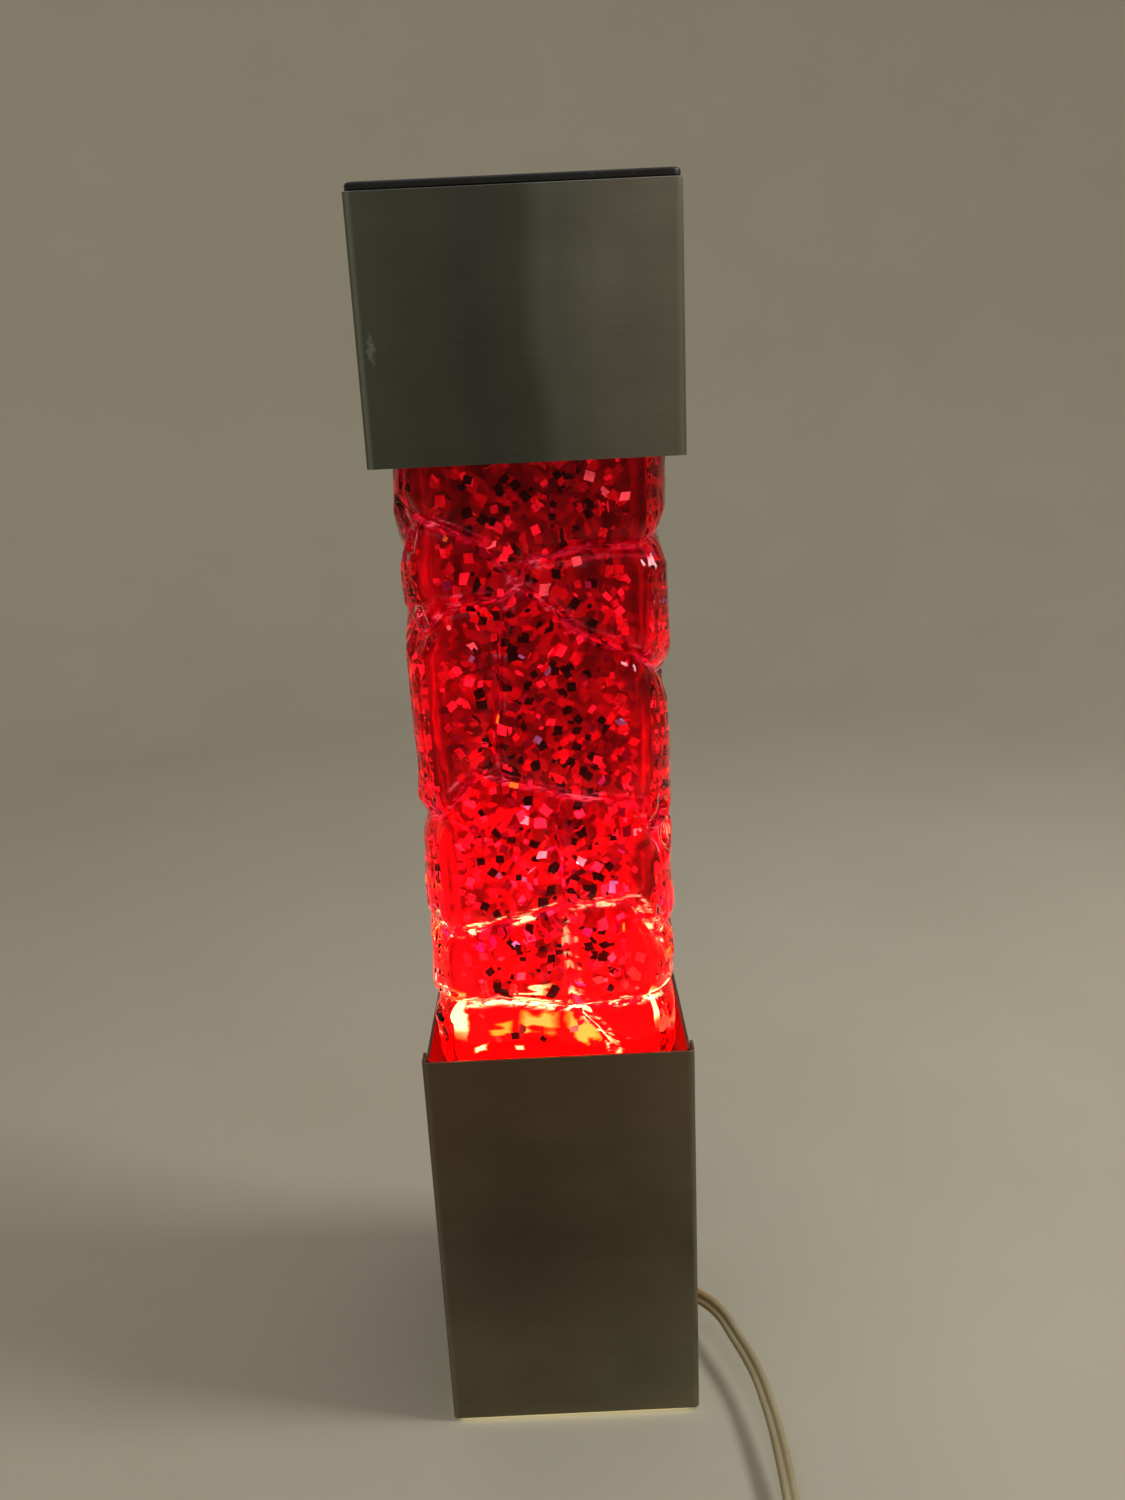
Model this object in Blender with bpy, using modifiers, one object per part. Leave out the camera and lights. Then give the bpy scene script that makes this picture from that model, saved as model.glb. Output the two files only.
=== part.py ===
"""Square glitter lamp: a brushed sheet-metal base with its bulb, a rock-textured glass
bottle of red liquid, a matching cap with a plug-in lid, and a flat twin cord.

Metres, +Z up. The origin is the middle of the base on the surface the lamp stands on.
The front faces -Y and the cord leaves through the +X side.
"""

import math

import bmesh
import bpy
import numpy as np
from mathutils import Matrix, Vector

MM = 0.001
GAP = 0.3 * MM  # between pieces that touch

# Base and cap: two bent channels, front and rear, wrapped round two flat side panels
WIDTH = 90 * MM
SHEET = 1.0 * MM
BEND = 1.8 * MM  # outside radius of the channels' bends
FLANGE = 7 * MM  # how far each channel returns along the sides
BASE_BOTTOM, BASE_TOP = 1.3 * MM, 149.3 * MM
CAP_BOTTOM, CAP_TOP = 338.8 * MM, 409.8 * MM
LID_TOP = 412.2 * MM

SIDE_OUT = WIDTH / 2 - SHEET - GAP  # outer face of a side panel
SIDE_IN = SIDE_OUT - SHEET
FRONT_IN = WIDTH / 2 - SHEET  # inner face of the front and rear channels
TRAY_X = SIDE_IN - GAP  # half sizes of the trays that sit between the panels
TRAY_Y = FRONT_IN - 2 * GAP

# Floor tray, feet and the deck that carries the bottle
PAD_HEIGHT, PAD_RADIUS, PAD_AT = 1.7 * MM, 6 * MM, 32 * MM
FLOOR = PAD_HEIGHT + GAP
FLOOR_TOP = FLOOR + SHEET
FLOOR_DEPTH = 11 * MM
VENT = (4 * MM, 30 * MM)
VENTS_AT = [x * MM for x in (-36, -12, -4, 4, 12, 36)]
DECK_TOP = 119 * MM
DECK_DEPTH = 13 * MM
DECK_HOLE = 28 * MM

# Rivets through the side panels
RIVET_HEAD, RIVET_SHANK, RIVET_HOLE = 2.3 * MM, 1.3 * MM, 1.6 * MM
RIVET_Y = 25 * MM
FLOOR_RIVET_Z, DECK_RIVET_Z, SHELF_RIVET_Z = 8 * MM, 111 * MM, 366 * MM

# Lampholder for a medium screw bulb, on a hat-section bracket
BRACKET_TOP, BRACKET_SHEET, BRACKET_WIDTH = 9.3 * MM, 1.2 * MM, 22 * MM
HOLDER_BOTTOM = BRACKET_TOP + GAP
HOLDER_FLOOR = 13 * MM
HOLDER_TOP = 46 * MM
HOLDER_RADIUS, HOLDER_BORE = 17.5 * MM, 15 * MM
SHELL_INSIDE, SHELL_WALL = 13.4 * MM, 0.6 * MM
SHELL_BOTTOM, SHELL_TOP = 15 * MM, 44 * MM
WIRE_RADIUS = 1.1 * MM
SCREW_SHANK, SCREW_HOLE, SCREW_HEAD = 1.4 * MM, 1.8 * MM, 2.5 * MM
BRACKET_SCREW_X, HOLDER_SCREW_X = 25 * MM, 8 * MM

# Bulb
THREAD_PITCH = 25.4 / 7 * MM
THREAD_MAJOR, THREAD_MINOR = 13.0 * MM, 12.4 * MM
BULB_SHELL_BOTTOM, BULB_SHELL_TOP = 20.4 * MM, 41 * MM
BULB_TIP = 15.5 * MM

# Bottle
BOTTLE_BOTTOM = DECK_TOP + GAP
GROOVE_HALF_WIDTH = 36.2 * MM  # half width of the glass at the bottom of its grooves
ROCK_HEIGHT = 4.6 * MM  # how far the blocks stand out of the grooves
ROCK_REACH = 5.5 * MM  # distance over which a block rises out of a groove
ROCK_LOW, ROCK_HIGH = 146 * MM, 342 * MM  # where the rock texture fades out
PLAIN_RISE = 0.6  # of ROCK_HEIGHT, on the plain foot and shoulder
WALL = 2.7 * MM
INSIDE_ROCK = 0.75  # share of the outer relief that the inner wall follows
CORNER_POWER = 7  # of the superellipse that the bottle's section is
AROUND, LEVELS = 32, 22  # points round a section, and levels up the rock-textured height
FACE = 76 * MM  # one face's share of the way round the bottle
SHOULDER_START = 343 * MM
NECK_START, NECK_TOP = 362 * MM, 375 * MM
NECK_RADIUS, NECK_BORE = 15 * MM, 11.5 * MM
GLASS_FLOOR = 127 * MM
LIQUID_TOP = 356 * MM
CLOSURE_TOP = 377.6 * MM
CLOSURE_RADIUS = 17.4 * MM

# Cap's inner shelf, which rests on the bottle's shoulder
SHELF = 360 * MM
SHELF_DEPTH = 12 * MM
SHELF_HOLE = 31 * MM

# Lid
LID_WIDTH = 89 * MM
LID_SKIRT_DEPTH, LID_SKIRT_WALL = 8 * MM, 1.6 * MM

# Flat twin cord, as a round tube of its width
CORD = 5.5 * MM
EXIT = Vector((45.3, -2.5, 14)) * MM
GROMMET_X = (40.9 * MM, 45.0 * MM)
GROMMET_NECK, GROMMET_RIM = 4.1 * MM, 6.2 * MM
SWITCH_AT = Vector((69, -129, 7)) * MM
SWITCH_SIZE = Vector((21, 48, 14)) * MM
WHEEL_RADIUS, WHEEL_HEIGHT, WHEEL_OFFSET = 8.5 * MM, 5 * MM, -5 * MM
WHEEL_POST = 1.6 * MM
COIL_AT = Vector((10, -150, 0)) * MM
COIL_RADIUS = 29 * MM  # at the middle of its turns
COIL_SECTION = 11.6 * MM
COIL_BOTTOM = 0.9 * MM
TIE_SHEET, TIE_WIDTH = 0.6 * MM, 5 * MM
PLUG_AT = Vector((-40, -116, 7)) * MM  # middle of the face that the blades leave
BLADE = Vector((1.5, 22.5, 6.35)) * MM
BLADE_SPACING = 12.7 * MM
BLADE_INSIDE = 5 * MM

# Middle of the cord, in millimetres: from the grommet to the switch, from the switch
# to the coil, and from the coil to the plug
LEAD_ROUTE = [
    (47.4, -3.2, 14), (50.6, -5.8, 14), (54.6, -10, 14), (57.8, -15.4, 13.9),
    (61, -24.6, 13.7), (64.3, -34.2, 13.3), (66.6, -43.2, 12.8), (68, -53, 12.2),
    (68.8, -61.5, 11.6), (69.2, -71, 10.8), (69.3, -80, 9.9), (69.2, -89, 8.8),
    (69, -97, 7.7), (69, -104.7, 7),
]
LINK_ROUTE = [
    (69, -153.6, 7), (68.8, -160, 6.3), (66.4, -167.5, 4.6), (61.5, -174.5, 3.2),
    (54.5, -180.3, 2.9), (46, -184.2, 2.9), (36, -186, 2.9), (25.5, -186.2, 3),
]
TAIL_ROUTE = [
    (-8, -184.2, 9.6), (-17, -183, 8.4), (-26, -179.6, 7.6), (-33.4, -174.4, 7.2),
    (-38.8, -168.0, 7), (-40, -160.8, 7),
]

# Grooves in the glass, in millimetres: across a face from its middle, to the right as
# that face is seen, and up. Those that end at +-38 meet the next face's at the corner.
FRONT_GROOVES = [
    [(-38, 325), (-15, 316), (-4, 303)],
    [(38, 313), (20, 314), (0, 311), (-4, 303)],
    [(-4, 303), (10, 290), (38, 277)],
    [(-38, 289), (-28, 298), (-10, 300), (-4, 303)],
    [(-9, 300), (-13, 276), (-14, 242)],
    [(-38, 229), (-21, 245), (5, 237), (30, 233), (38, 221)],
    [(5, 237), (4, 220), (5, 200)],
    [(-38, 190), (-20, 193), (5, 200), (28, 200), (38, 186)],
    [(5, 200), (6, 166)],
    [(-38, 165), (-18, 167), (6, 163), (38, 165)],
    [(6, 166), (17, 148)],
]
RIGHT_GROOVES = [
    [(-38, 313), (-10, 320), (14, 305), (38, 322)],
    [(-38, 277), (-14, 268), (20, 280), (38, 270)],
    [(14, 305), (20, 280)],
    [(-14, 268), (-10, 236)],
    [(-38, 221), (-10, 236), (18, 228), (38, 236)],
    [(18, 228), (12, 196)],
    [(-38, 186), (12, 196), (38, 188)],
    [(12, 196), (8, 166)],
    [(-38, 165), (8, 166), (38, 162)],
]
REAR_GROOVES = [
    [(-38, 322), (-6, 308), (38, 318)],
    [(-6, 308), (2, 284)],
    [(-38, 270), (2, 284), (38, 281)],
    [(2, 284), (-6, 240)],
    [(-38, 236), (-6, 240), (38, 225)],
    [(-6, 240), (4, 194)],
    [(-38, 188), (4, 194), (38, 196)],
    [(4, 194), (-4, 165)],
    [(-38, 162), (-4, 165), (38, 164)],
]
LEFT_GROOVES = [
    [(-38, 318), (-8, 326), (10, 302), (38, 325)],
    [(10, 302), (38, 289)],
    [(10, 302), (-12, 272), (-38, 281)],
    [(-12, 272), (-4, 232)],
    [(-38, 225), (-4, 232), (38, 229)],
    [(-4, 232), (10, 198)],
    [(-38, 196), (10, 198), (38, 190)],
    [(10, 198), (2, 166)],
    [(-38, 164), (2, 166), (38, 165)],
]


# Scene, materials and placing

def clear_scene():
    for obj in list(bpy.data.objects):
        bpy.data.objects.remove(obj, do_unlink=True)


def new_collection(name):
    made = bpy.data.collections.new(name)
    bpy.context.scene.collection.children.link(made)
    return made


def new_material(name, color, roughness, metallic=0.0, alpha=1.0):
    made = bpy.data.materials.new(name)
    made.use_nodes = True
    shader = made.node_tree.nodes["Principled BSDF"]
    shader.inputs["Base Color"].default_value = (*color, 1)
    shader.inputs["Roughness"].default_value = roughness
    shader.inputs["Metallic"].default_value = metallic
    shader.inputs["Alpha"].default_value = alpha
    made.diffuse_color = (*color, alpha)
    return made


def place(name, data, material, at=(0, 0, 0), turn=(0, 0, 0), parent=None):
    """A named sub-part in the lamp's collection. Its place is given in the world."""
    if not data.materials:
        data.materials.append(material)
    obj = bpy.data.objects.new(name, data)
    obj.location, obj.rotation_euler = at, turn
    lamp.objects.link(obj)
    if parent:
        obj.parent = parent
        obj.matrix_parent_inverse = Matrix.Translation(parent.location).inverted()
    return obj


def joint(name, at, parent=None):
    """An empty on a joint's axis, for the pieces that move about or along it."""
    empty = bpy.data.objects.new(name, None)
    empty.empty_display_size = 10 * MM
    empty.location = at
    lamp.objects.link(empty)
    if parent:
        empty.parent = parent
        empty.matrix_parent_inverse = Matrix.Translation(parent.location).inverted()
    return empty


# Shapes

def mesh_of(name, bm):
    mesh = bpy.data.meshes.new(name)
    bmesh.ops.recalc_face_normals(bm, faces=bm.faces[:])
    bm.to_mesh(mesh)
    bm.free()
    return mesh


def block_mesh(name, size):
    bm = bmesh.new()
    bmesh.ops.create_cube(bm, size=1)
    bmesh.ops.scale(bm, vec=size, verts=bm.verts[:])
    return mesh_of(name, bm)


def cylinder_mesh(name, radius, depth, segments=24):
    bm = bmesh.new()
    bmesh.ops.create_cone(
        bm, cap_ends=True, segments=segments, radius1=radius, radius2=radius, depth=depth
    )
    mesh = mesh_of(name, bm)
    mesh.shade_smooth()
    mesh.set_sharp_from_angle(angle=math.radians(40))
    return mesh


def block(name, low, high, material, parent=None, bevel=0.0):
    low, high = Vector(low), Vector(high)
    obj = place(name, block_mesh(name, high - low), material, (low + high) / 2, parent=parent)
    if bevel:
        rounding = obj.modifiers.new("Rounding", "BEVEL")
        rounding.width, rounding.segments = bevel, 2
    return obj


def outline_curve(name, outlines, height):
    """A flat outline, with any holes in it, raised to a height about its own plane."""
    curve = bpy.data.curves.new(name, "CURVE")
    curve.dimensions, curve.fill_mode, curve.extrude = "2D", "BOTH", height / 2
    for outline in outlines:
        spline = curve.splines.new("POLY")
        spline.points.add(len(outline) - 1)
        for point, (x, y) in zip(spline.points, outline):
            point.co = (x, y, 0, 1)
        spline.use_cyclic_u = True
    return curve


def turned(name, profile, material, at=(0, 0, 0), turn=(0, 0, 0), parent=None, steps=24, ring=False):
    """A (radius, height) profile turned about its own Z axis. It runs down its outer side."""
    count = len(profile)
    edges = [(i, i + 1) for i in range(count - 1)] + ([(count - 1, 0)] if ring else [])
    mesh = bpy.data.meshes.new(name)
    mesh.from_pydata([(r, 0, z) for r, z in profile], edges, [])
    obj = place(name, mesh, material, at, turn, parent)
    screw = obj.modifiers.new("Turn", "SCREW")
    screw.steps = screw.render_steps = steps
    screw.use_merge_vertices, screw.merge_threshold = True, 0.00001
    screw.use_smooth_shade = True
    return obj


def tube(name, route, radius, material, parent=None):
    curve = bpy.data.curves.new(name, "CURVE")
    curve.dimensions = "3D"
    curve.bevel_depth, curve.bevel_resolution, curve.use_fill_caps = radius, 2, True
    spline = curve.splines.new("POLY")
    spline.points.add(len(route) - 1)
    for point, place_at in zip(spline.points, route):
        point.co = (*place_at, 1)
    return place(name, curve, material, parent=parent)


def smooth_route(route, spacing):
    """Points about spacing apart on a smooth curve through a route in millimetres."""
    route = np.array(route, float) * MM
    along = np.concatenate([[0], np.cumsum(np.linalg.norm(np.diff(route, axis=0), axis=1))])
    slope = np.gradient(route, along, axis=0)
    fine = []
    for i, span in enumerate(np.diff(along)):
        t = np.linspace(0, 1, 12, endpoint=False)[:, None]
        fine.append(
            (2 * t**3 - 3 * t**2 + 1) * route[i]
            + (t**3 - 2 * t**2 + t) * span * slope[i]
            + (3 * t**2 - 2 * t**3) * route[i + 1]
            + (t**3 - t**2) * span * slope[i + 1]
        )
    fine = np.concatenate([*fine, route[-1:]])
    along = np.concatenate([[0], np.cumsum(np.linalg.norm(np.diff(fine, axis=0), axis=1))])
    at = np.linspace(0, along[-1], round(along[-1] / spacing) + 1)
    return [tuple(np.interp(s, along, fine[:, k]) for k in range(3)) for s in at]


def loft(name, rings, material, parent=None):
    """A closed solid through rings of equally many points, with both ends capped.

    Every diagonal rises the same way, so that two lofts a gap apart stay a gap apart.
    """
    bm = bmesh.new()
    rows = [[bm.verts.new(point) for point in ring] for ring in rings]
    around = len(rings[0])
    for first, second in zip(rows, rows[1:]):
        rising = second[0].co.z > first[0].co.z
        for i in range(around):
            j = (i + 1) % around
            a, b, c, d = first[i], first[j], second[j], second[i]
            for corners in ((a, b, c), (a, c, d)) if rising else ((a, b, d), (b, c, d)):
                bm.faces.new(corners)
    for end in (rows[0], rows[-1]):
        bm.faces.new(end)
    mesh = mesh_of(name, bm)
    mesh.shade_smooth()
    mesh.set_sharp_from_angle(angle=math.radians(50))
    return place(name, mesh, material, parent=parent)


def combine(obj, tool_mesh, at, turn=(0, 0, 0), operation="DIFFERENCE"):
    """Cuts a tool's shape out of an object, or joins it on."""
    tool = bpy.data.objects.new(f"{obj.name}_tool", tool_mesh)
    tool.location, tool.rotation_euler = at, turn
    tool.hide_render, tool.display_type = True, "WIRE"
    cutters.objects.link(tool)
    boolean = obj.modifiers.new("Cut" if operation == "DIFFERENCE" else "Join", "BOOLEAN")
    boolean.operation, boolean.object = operation, tool
    return obj


def drill(obj, radius, at, axis="Z", depth=6 * MM):
    turn = {"Z": (0, 0, 0), "X": (0, math.pi / 2, 0)}[axis]
    return combine(obj, cylinder_mesh("drill", radius, depth, 12), at, turn)


# Sheet-metal boxes

def corner_arc(cx, cy, radius, start, end, steps=4):
    return [
        (cx + radius * math.cos(a), cy + radius * math.sin(a))
        for a in np.radians(np.linspace(start, end, steps + 1))
    ]


def channel_outline():
    """The front channel seen from above: a flat face, two bends and two short flanges."""
    half, end = WIDTH / 2, FLANGE - WIDTH / 2
    centre, inside = half - BEND, BEND - SHEET
    return [
        (-half, end),
        *corner_arc(-centre, -centre, BEND, 180, 270),
        *corner_arc(centre, -centre, BEND, 270, 360),
        (half, end),
        (half - SHEET, end),
        *corner_arc(centre, -centre, inside, 360, 270),
        *corner_arc(-centre, -centre, inside, 270, 180),
        (SHEET - half, end),
    ]


def sleeve(prefix, low, high, rivet_z, material, parent=None):
    """Two channels wrapped round two side panels, which are drilled for their rivets."""
    curve = outline_curve(f"{prefix}_channel", [channel_outline()], high - low)
    for side, turn in (("front", 0), ("rear", math.pi)):
        place(f"{prefix}_{side}_panel", curve, material, (0, 0, (low + high) / 2), (0, 0, turn), parent)
    panels = {}
    for side, sign in (("left", -1), ("right", 1)):
        x = sorted((sign * SIDE_IN, sign * SIDE_OUT))
        panel = block(
            f"{prefix}_{side}_panel", (x[0], -TRAY_Y, low), (x[1], TRAY_Y, high), material, parent
        )
        for z in rivet_z:
            for y in (-RIVET_Y, RIVET_Y):
                drill(panel, RIVET_HOLE, (sign * SIDE_OUT, y, z), "X")
        panels[side] = panel
    return panels


def tray(name, z, depth, upward, material, rivet_z, parent=None):
    """A square pan between the panels: a plate at z with flanges up or down, drilled for rivets."""
    sign = 1 if upward else -1
    bm = bmesh.new()
    bmesh.ops.create_cube(bm, size=1)
    bmesh.ops.scale(bm, vec=(2 * TRAY_X, 2 * TRAY_Y, depth), verts=bm.verts[:])
    open_side = [f for f in bm.faces if f.normal.z * sign > 0.5]
    bmesh.ops.delete(bm, geom=open_side, context="FACES_ONLY")
    mesh = bpy.data.meshes.new(name)
    bm.to_mesh(mesh)
    bm.free()
    obj = place(name, mesh, material, (0, 0, z + sign * depth / 2), parent=parent)
    solidify = obj.modifiers.new("Sheet", "SOLIDIFY")
    solidify.thickness, solidify.offset, solidify.use_even_offset = SHEET, -1, True
    for x in (-TRAY_X, TRAY_X):
        for y in (-RIVET_Y, RIVET_Y):
            drill(obj, RIVET_HOLE, (x, y, rivet_z), "X")
    return obj


def rivets(prefix, heights, material, parent=None, first=1):
    """Domed rivets from outside each side panel, through the tray's flange behind it."""
    outside, inside = SIDE_OUT + GAP, TRAY_X - SHEET - GAP
    profile = [
        (0, outside + 0.9 * MM),
        (0.6 * RIVET_HEAD, outside + 0.75 * MM),
        (RIVET_HEAD, outside + 0.2 * MM),
        (RIVET_HEAD, outside),
        (RIVET_SHANK, outside),
        (RIVET_SHANK, inside),
        (0.8 * RIVET_HEAD, inside),
        (0.7 * RIVET_HEAD, inside - 0.8 * MM),
        (0, inside - 0.8 * MM),
    ]
    number = first
    for z in heights:
        for sign in (-1, 1):
            for y in (-RIVET_Y, RIVET_Y):
                turned(
                    f"{prefix}_rivet_{number}", profile, material,
                    (0, y, z), (0, sign * math.pi / 2, 0), parent, steps=10,
                )
                number += 1


# Base

def make_base():
    panels = sleeve("base", BASE_BOTTOM, BASE_TOP, (FLOOR_RIVET_Z, DECK_RIVET_Z), brushed)
    drill(panels["right"], GROMMET_NECK + GAP, (SIDE_OUT, EXIT.y, EXIT.z), "X")

    floor_tray = tray("base_floor_tray", FLOOR, FLOOR_DEPTH, True, black_steel, FLOOR_RIVET_Z)
    drill(floor_tray, GROMMET_RIM, (TRAY_X, EXIT.y, EXIT.z), "X")
    for x in VENTS_AT:
        combine(floor_tray, block_mesh("vent", (*VENT, 6 * MM)), (x, 0, FLOOR))
    for x in (-BRACKET_SCREW_X, BRACKET_SCREW_X):
        drill(floor_tray, SCREW_HOLE, (x, 0, FLOOR))

    for number, (x, y) in enumerate([(-1, -1), (1, -1), (1, 1), (-1, 1)], 1):
        place(
            f"foot_pad_{number}", cylinder_mesh("foot_pad", PAD_RADIUS, PAD_HEIGHT),
            rubber, (x * PAD_AT, y * PAD_AT, PAD_HEIGHT / 2),
        )

    deck = tray("bottle_deck", DECK_TOP, DECK_DEPTH, False, plated_steel, DECK_RIVET_Z)
    combine(deck, cylinder_mesh("deck_hole", DECK_HOLE, 6 * MM, 40), (0, 0, DECK_TOP))
    rivets("base", (FLOOR_RIVET_Z, DECK_RIVET_Z), aluminium)


def make_lampholder():
    foot_out, foot_in, top = 31 * MM, 20 * MM, BRACKET_TOP
    low, sheet = FLOOR_TOP + GAP, BRACKET_SHEET
    hat = [
        (-foot_out, low), (-foot_in + sheet, low), (-foot_in + sheet, top - sheet),
        (foot_in - sheet, top - sheet), (foot_in - sheet, low), (foot_out, low),
        (foot_out, low + sheet), (foot_in, low + sheet), (foot_in, top),
        (-foot_in, top), (-foot_in, low + sheet), (-foot_out, low + sheet),
    ]
    strap = place(
        "strap_curve", outline_curve("strap", [hat], BRACKET_WIDTH), plated_steel,
        turn=(math.pi / 2, 0, 0),
    )
    bracket = made_mesh("lampholder_bracket", strap, plated_steel)
    body = turned(
        "lampholder_body",
        [
            (0, HOLDER_FLOOR), (HOLDER_BORE, HOLDER_FLOOR), (HOLDER_BORE, HOLDER_TOP),
            (HOLDER_RADIUS, HOLDER_TOP), (HOLDER_RADIUS, 14.5 * MM), (19.2 * MM, HOLDER_FLOOR),
            (19.2 * MM, HOLDER_BOTTOM), (0, HOLDER_BOTTOM),
        ],
        phenolic, steps=32,
    )
    for number, x in enumerate((-1, 1), 1):
        drill(bracket, SCREW_HOLE, (x * BRACKET_SCREW_X, 0, low))
        drill(bracket, SCREW_HOLE, (x * HOLDER_SCREW_X, 0, top))
        drill(body, SCREW_HOLE, (x * HOLDER_SCREW_X, 0, HOLDER_BOTTOM), depth=12 * MM)
        pan_screw(f"bracket_screw_{number}", (x * BRACKET_SCREW_X, 0, low + sheet + GAP), 4.3 * MM)
        pan_screw(f"holder_screw_{number}", (x * HOLDER_SCREW_X, 0, HOLDER_FLOOR + GAP), 6 * MM)
    turned(
        "lampholder_shell",
        [
            (SHELL_INSIDE + SHELL_WALL, SHELL_TOP), (SHELL_INSIDE + SHELL_WALL, SHELL_BOTTOM),
            (SHELL_INSIDE, SHELL_BOTTOM), (SHELL_INSIDE, SHELL_TOP),
        ],
        brass, steps=32, ring=True,
    )
    tongue = [
        (-9, 13.3), (-4, 13.3), (3, 14.4), (3, 15.1), (-4.2, 14.1), (-9, 14.1),
    ]
    place(
        "lampholder_contact",
        outline_curve("tongue", [[(y * MM, z * MM) for y, z in tongue]], 5 * MM),
        brass, turn=(math.pi / 2, 0, math.pi / 2),
    )


def made_mesh(name, curve_object, material):
    """A curve object made a mesh object, so that holes can be cut in it."""
    bpy.context.view_layer.update()
    evaluated = curve_object.evaluated_get(bpy.context.evaluated_depsgraph_get())
    mesh = bpy.data.meshes.new_from_object(evaluated)
    bm = bmesh.new()
    bm.from_mesh(mesh)
    bmesh.ops.remove_doubles(bm, verts=bm.verts[:], dist=0.00001)
    bm.to_mesh(mesh)
    bm.free()
    obj = place(name, mesh, material)
    obj.matrix_world = curve_object.matrix_world
    bpy.data.objects.remove(curve_object)
    return obj


def pan_screw(name, at, shank):
    """A pan-head screw whose head's underside is at the given point."""
    return turned(
        name,
        [
            (0, 1.1 * MM), (0.7 * SCREW_HEAD, 1.0 * MM), (SCREW_HEAD, 0.4 * MM), (SCREW_HEAD, 0),
            (SCREW_SHANK, 0), (SCREW_SHANK, -shank), (0, -shank - 0.4 * MM),
        ],
        plated_steel, at, steps=12,
    )


def make_wires():
    """The cord's two insulated cores, from the grommet to the lampholder's sides."""
    for name, y, way in (("live_wire", EXIT.y + 1.5 * MM, 1), ("neutral_wire", EXIT.y - 1.5 * MM, -1)):
        y /= MM
        end_x, end_y = 19.4, way * 5.0
        route = [(40.2, y, 14), (36, y, 13.6), (31, y + way, 14.2), (26.5, end_y, 17), (end_x, end_y, 21)]
        tube(name, smooth_route(route, 4 * MM), WIRE_RADIUS, pvc)


def make_grommet():
    inner, outer = GROMMET_X
    turned(
        "cord_grommet",
        [
            (0.96 * GROMMET_RIM, outer), (GROMMET_RIM, outer - GAP),
            (GROMMET_RIM, SIDE_OUT + GAP), (GROMMET_NECK, SIDE_OUT + GAP),
            (GROMMET_NECK, SIDE_IN - GAP), (0.9 * GROMMET_RIM, SIDE_IN - GAP),
            (0.9 * GROMMET_RIM, inner), (CORD / 2 + GAP, inner), (CORD / 2 + GAP, outer),
        ],
        rubber, (0, EXIT.y, EXIT.z), (0, math.pi / 2, 0), steps=16, ring=True,
    )


def make_bulb():
    bulb_lift = joint("bulb_lift_axis", (0, 0, BULB_TIP))
    bulb_turn = joint("bulb_turn_axis", (0, 0, BULB_SHELL_TOP), bulb_lift)
    crests = 5
    thread = []
    for i in range(crests):
        z = BULB_SHELL_TOP - 1.2 * MM - i * THREAD_PITCH
        thread += [(THREAD_MINOR, z), (THREAD_MAJOR, z - THREAD_PITCH / 2)]
    shell = [
        (THREAD_MINOR, BULB_SHELL_TOP), *thread, (THREAD_MINOR, BULB_SHELL_BOTTOM + MM),
        (THREAD_MINOR - 0.3 * MM, BULB_SHELL_BOTTOM),
        (11.8 * MM, BULB_SHELL_BOTTOM), (11.8 * MM, BULB_SHELL_TOP),
    ]
    turned("bulb_screw_shell", shell, aluminium, parent=bulb_lift, steps=20, ring=True)

    outside = [
        (0, 104.4), (8, 103.2), (15, 99.6), (20.5, 93.8), (23.4, 87), (24, 80.5), (23, 74),
        (20, 66.5), (16.8, 59), (14.2, 51), (12.6, 44.5), (12.2, 42), (11.4, 41.3), (11.4, 37),
    ]
    inside = [
        (10.7, 37), (10.7, 41.8), (11.5, 42.6), (11.9, 44.6), (13.5, 51.2), (16.1, 59.3),
        (19.3, 66.8), (22.3, 74.2), (23.3, 80.5), (22.7, 86.8), (19.9, 93.4), (14.6, 98.9),
        (7.8, 102.4), (0, 103.6),
    ]
    turned(
        "bulb_glass", [(r * MM, z * MM) for r, z in outside + inside], frosted_glass,
        parent=bulb_turn, steps=20,
    )
    stem = [(0, 60), (1.8, 60), (2.6, 52), (3.4, 44), (6, 37.5), (6, 36.5), (0, 36.5)]
    turned("bulb_stem", [(r * MM, z * MM) for r, z in stem], clear_glass, parent=bulb_turn, steps=12)
    filament = [
        (-1.3, 0, 60.7), (-4, 0, 70), (-6.5, 0, 78), (-3, 0, 79.4), (0, 0, 78.6),
        (3, 0, 79.4), (6.5, 0, 78), (4, 0, 70), (1.3, 0, 60.7),
    ]
    tube("bulb_filament", [Vector(p) * MM for p in filament], 0.4 * MM, tungsten, bulb_turn)
    tip = [(0, 20.1), (11.4, 20.1), (11.4, 19.2), (5.0, 17), (4.2, 15.9), (0, 15.5)]
    turned("bulb_base_tip", [(r * MM, z * MM) for r, z in tip], phenolic, parent=bulb_turn)


# Bottle

def section(half_width):
    """A square section with round corners, with its points evenly round the square."""
    ring = []
    for i in range(AROUND):
        side, along = divmod(4 * i / AROUND, 1)
        u = 2 * along - 1
        x, y = ((u, -1), (1, u), (-u, 1), (-1, -u))[int(side)]
        size = (abs(x) ** CORNER_POWER + abs(y) ** CORNER_POWER) ** (1 / CORNER_POWER)
        ring.append((half_width * x / size, half_width * y / size))
    return ring


def groove_segments():
    """Every groove's straight pieces, as (distance round the bottle, height) pairs."""
    segments = []
    for side, grooves in enumerate((FRONT_GROOVES, RIGHT_GROOVES, REAR_GROOVES, LEFT_GROOVES)):
        for line in grooves:
            points = [(side * FACE + u * MM + FACE / 2, z * MM) for u, z in line]
            segments += zip(points, points[1:])
    return np.array(segments)


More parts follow.
